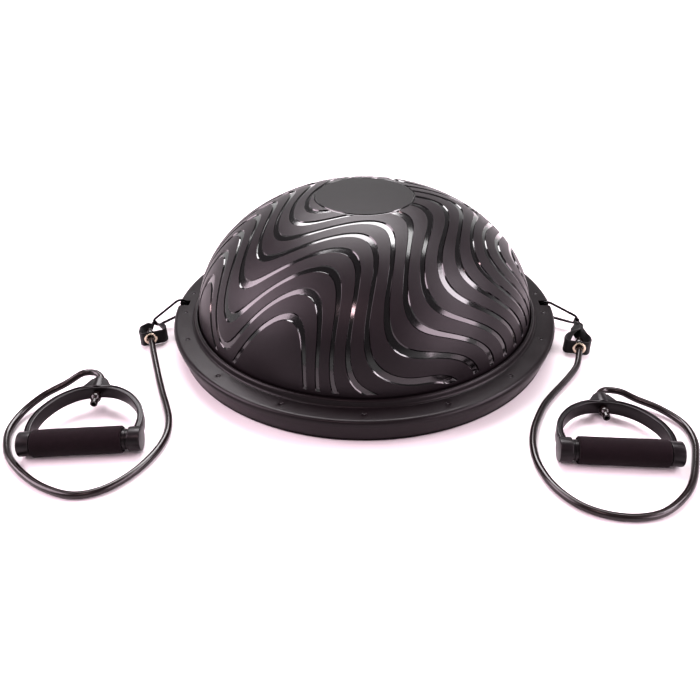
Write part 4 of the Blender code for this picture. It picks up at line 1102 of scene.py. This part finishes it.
def make_boss():
    """The block behind the arm that the hose runs through, wider at the arm, with softened edges."""
    corners = ((-0.0200, 0.0862), (0.0200, 0.0862), (0.0095, 0.1035), (-0.0095, 0.1035))
    depth = ARM_HALF_DEPTH - 0.0002
    vertices = [(u, v, z) for z in (-depth, depth) for u, v in corners]
    faces = [(3, 2, 1, 0), (4, 5, 6, 7)] + [(k, (k + 1) % 4, (k + 1) % 4 + 4, k + 4) for k in range(4)]
    boss = mesh_object("boss", vertices, faces)
    bm = bmesh.new()
    bm.from_mesh(boss.data)
    bmesh.ops.bevel(bm, geom=bm.edges[:], offset=0.0014, segments=4, profile=0.5, affect="EDGES")
    bm.to_mesh(boss.data)
    bm.free()
    return finish_mesh(boss)


def make_yoke(side):
    """The handle's arm, cups and hose block, joined into one and bored for the grip and the hose."""
    yoke = make_arm()
    yoke.name = f"handle_yoke_{side}"
    inner = GRIP_HALF_LENGTH - CUP_LENGTH
    to_x = Matrix.Rotation(math.pi / 2, 4, "Y")
    for sign in (-1, 1):
        near, far = sign * inner, sign * GRIP_HALF_LENGTH
        rim = [(0.0, far), (CUP_RADIUS, far), (CUP_RADIUS, near), (0.0, near)]
        yoke = cut(yoke, turned("cup", rounded(rim, 0.0013, 5), 72, to_x), "UNION")
        yoke = cut(yoke, rod("socket", JOURNAL_RADIUS + GAP, (sign * (inner - 0.002), 0.0, 0.0),
                             (sign * (inner + SOCKET_DEPTH), 0.0, 0.0), 48))
    yoke = cut(yoke, make_boss(), "UNION")
    barrel = [(0.0, 0.0868), (0.0104, 0.0868), (0.0104, BOSS_END), (0.0, BOSS_END)]
    to_y = Matrix.Rotation(-math.pi / 2, 4, "X")
    yoke = cut(yoke, turned("barrel", rounded(barrel, 0.0012, 4), 56, to_y), "UNION")
    yoke = cut(yoke, rod("bore", HOSE_BORE_RADIUS, (0.0, 0.0750, 0.0), (0.0, 0.1150, 0.0), 40))
    mouth = [(0.0, 0.1010), (HOSE_BORE_RADIUS, 0.1010), (0.0056, 0.1034), (0.0068, 0.1052),
             (0.0082, 0.1062), (0.0082, 0.1080), (0.0, 0.1080)]
    yoke = cut(yoke, turned("mouth", mouth, 40, to_y))
    yoke.data.transform(handle_matrix(side))
    put(yoke, "yoke_plastic", "trainer", f"yoke_{side}")


def make_grip(side):
    """The tube that turns in the cups, and the foam sleeve on it."""
    to_x = handle_matrix(side) @ Matrix.Rotation(math.pi / 2, 4, "Y")
    shoulder = GRIP_HALF_LENGTH - CUP_LENGTH - GAP
    journal_end = GRIP_HALF_LENGTH - CUP_LENGTH + SOCKET_DEPTH - GAP
    end = [(JOURNAL_RADIUS - 0.0004, journal_end), (JOURNAL_RADIUS, journal_end - 0.0004),
           (JOURNAL_RADIUS, shoulder), (CORE_RADIUS - 0.0003, shoulder),
           (CORE_RADIUS, shoulder - 0.0003), (CORE_RADIUS, shoulder - 0.0012),
           (CORE_RADIUS - 0.0007, shoulder - 0.0016), (CORE_RADIUS - 0.0007, shoulder - 0.0026),
           (CORE_RADIUS, shoulder - 0.0030)]
    core = end + [(radius, -height) for radius, height in end[::-1]]
    core += [(CORE_BORE_RADIUS, -journal_end), (CORE_BORE_RADIUS, journal_end)]
    core = turned(f"grip_tube_{side}", core, 72, to_x)
    put(core, "yoke_plastic", f"{side}_grip", f"grip_core_{side}")

    shift = HANDLES[side]["foam_shift"]
    half = FOAM_LENGTH / 2
    round_off = 0.0022
    skin = [(FOAM_RADIUS - round_off * (1 - math.sin(turn)) - GAP, half - round_off * (1 - math.cos(turn)))
            for turn in [math.pi / 2 * share / 6 for share in range(7)]]
    steps = 60
    middle = [(FOAM_RADIUS - GAP, half - round_off - 2 * (half - round_off) * step / steps)
              for step in range(1, steps)]
    outline = skin + middle + [(radius, -height) for radius, height in skin[::-1]]
    outline = [(radius, height + shift) for radius, height in outline]
    bore = CORE_RADIUS + GAP
    outline += [(bore + 0.0004, -half + shift), (bore, -half + 0.0006 + shift),
                (bore, half - 0.0006 + shift), (bore + 0.0004, half + shift)]
    foam = turned(f"foam_grip_{side}", outline, 96, None, 50.0)
    for vertex in foam.data.vertices:
        out = math.hypot(vertex.co.x, vertex.co.y)
        if out < bore + 0.0012:
            continue
        angle = math.atan2(vertex.co.y, vertex.co.x)
        ripple = (math.sin(2 * angle + 70 * vertex.co.z) + math.sin(3 * angle - 190 * vertex.co.z + 1.3)
                  + math.sin(5 * angle + 420 * vertex.co.z + 0.4)) / 3
        change = 1 + (0.00010 * ripple - 0.00012) / out
        vertex.co.x *= change
        vertex.co.y *= change
    foam.data.transform(to_x)
    put(foam, "grip_foam", f"{side}_grip", f"foam_sleeve_{side}")


# ---------------------------------------------------------------- stage
def make_stage():
    """The pale floor, just under the trainer's feet."""
    mesh = bpy.data.meshes.new("floor")
    half, height = 5.0, -0.0004
    corners = [(x * half, y * half, height) for x, y in ((-1, -1), (1, -1), (1, 1), (-1, 1))]
    mesh.from_pydata(corners, [], [(0, 1, 2, 3)])
    floor = bpy.data.objects.new("floor", mesh)
    bpy.context.scene.collection.objects.link(floor)
    material = bpy.data.materials.new("floor_pale")
    material.use_nodes = True
    shader = material.node_tree.nodes["Principled BSDF"]
    shader.inputs["Base Color"].default_value = (0.68, 0.640, 0.655, 1.0)
    shader.inputs["Roughness"].default_value = 0.7
    floor.data.materials.append(material)


def soft_box(name, bearing, elevation, size, brightness, colour=(1.0, 1.0, 1.0), distance=6.0):
    """A rectangular light aimed at the object; its bearing is in degrees clockwise from straight behind."""
    bearing, elevation = math.radians(bearing), math.radians(elevation)
    data = bpy.data.lights.new(name, "AREA")
    data.shape = "RECTANGLE"
    data.size, data.size_y = size
    data.energy = brightness * math.pi * size[0] * size[1]
    data.color = colour
    light = bpy.data.objects.new(name, data)
    bpy.context.scene.collection.objects.link(light)
    away = Vector((math.sin(bearing) * math.cos(elevation), math.cos(bearing) * math.cos(elevation),
                   math.sin(elevation)))
    light.location = away * distance
    light.rotation_euler = (-away).to_track_quat("-Z", "Y").to_euler()


def make_lights():
    """A white studio that is darker overhead, six soft boxes, and the photograph's hard contrast."""
    world = bpy.data.worlds.new("studio")
    world.use_nodes = True
    nodes, links = world.node_tree.nodes, world.node_tree.links
    direction = nodes.new("ShaderNodeTexCoord")
    height = nodes.new("ShaderNodeSeparateXYZ")
    fade = nodes.new("ShaderNodeMapRange")
    for name, value in (("From Min", 0.16), ("From Max", 0.38), ("To Min", 1.0), ("To Max", 0.28)):
        fade.inputs[name].default_value = value
    links.new(direction.outputs["Generated"], height.inputs["Vector"])
    links.new(height.outputs["Z"], fade.inputs["Value"])
    links.new(fade.outputs["Result"], nodes["Background"].inputs["Strength"])
    nodes["Background"].inputs["Color"].default_value = (1.0, 1.0, 1.0, 1.0)
    bpy.context.scene.world = world
    bpy.context.scene.view_settings.view_transform = "Standard"
    bpy.context.scene.view_settings.look = "High Contrast"
    soft_box("back_box", -9.0, 56.0, (3.8, 3.4), 10.0, (1.0, 0.97, 0.99))
    soft_box("back_right_box", 40.0, 60.0, (1.8, 1.6), 5.5)
    soft_box("left_box", -97.0, 35.0, (4.2, 4.6), 6.5, (1.0, 0.84, 0.93))
    soft_box("right_box", 88.0, 42.0, (2.4, 2.4), 9.0, (1.0, 0.92, 0.98))
    soft_box("right_front_box", 121.0, 23.0, (4.2, 3.2), 5.5, (1.0, 0.84, 0.93))
    soft_box("key_lamp", -165.0, 57.0, (0.7, 0.7), 24.0, (1.0, 0.72, 0.76))


make_camera()
HOSE_LENGTHS = {side: make_hose(side) for side in SIDES}
make_dome()
make_ring()
make_pan()
make_pads()
make_screws()
make_valve()
for side in SIDES:
    make_anchor_bar(side)
    make_clip(side)
    make_strap(side)
    make_eyelet(side)
    make_yoke(side)
    make_grip(side)
make_stage()
make_lights()
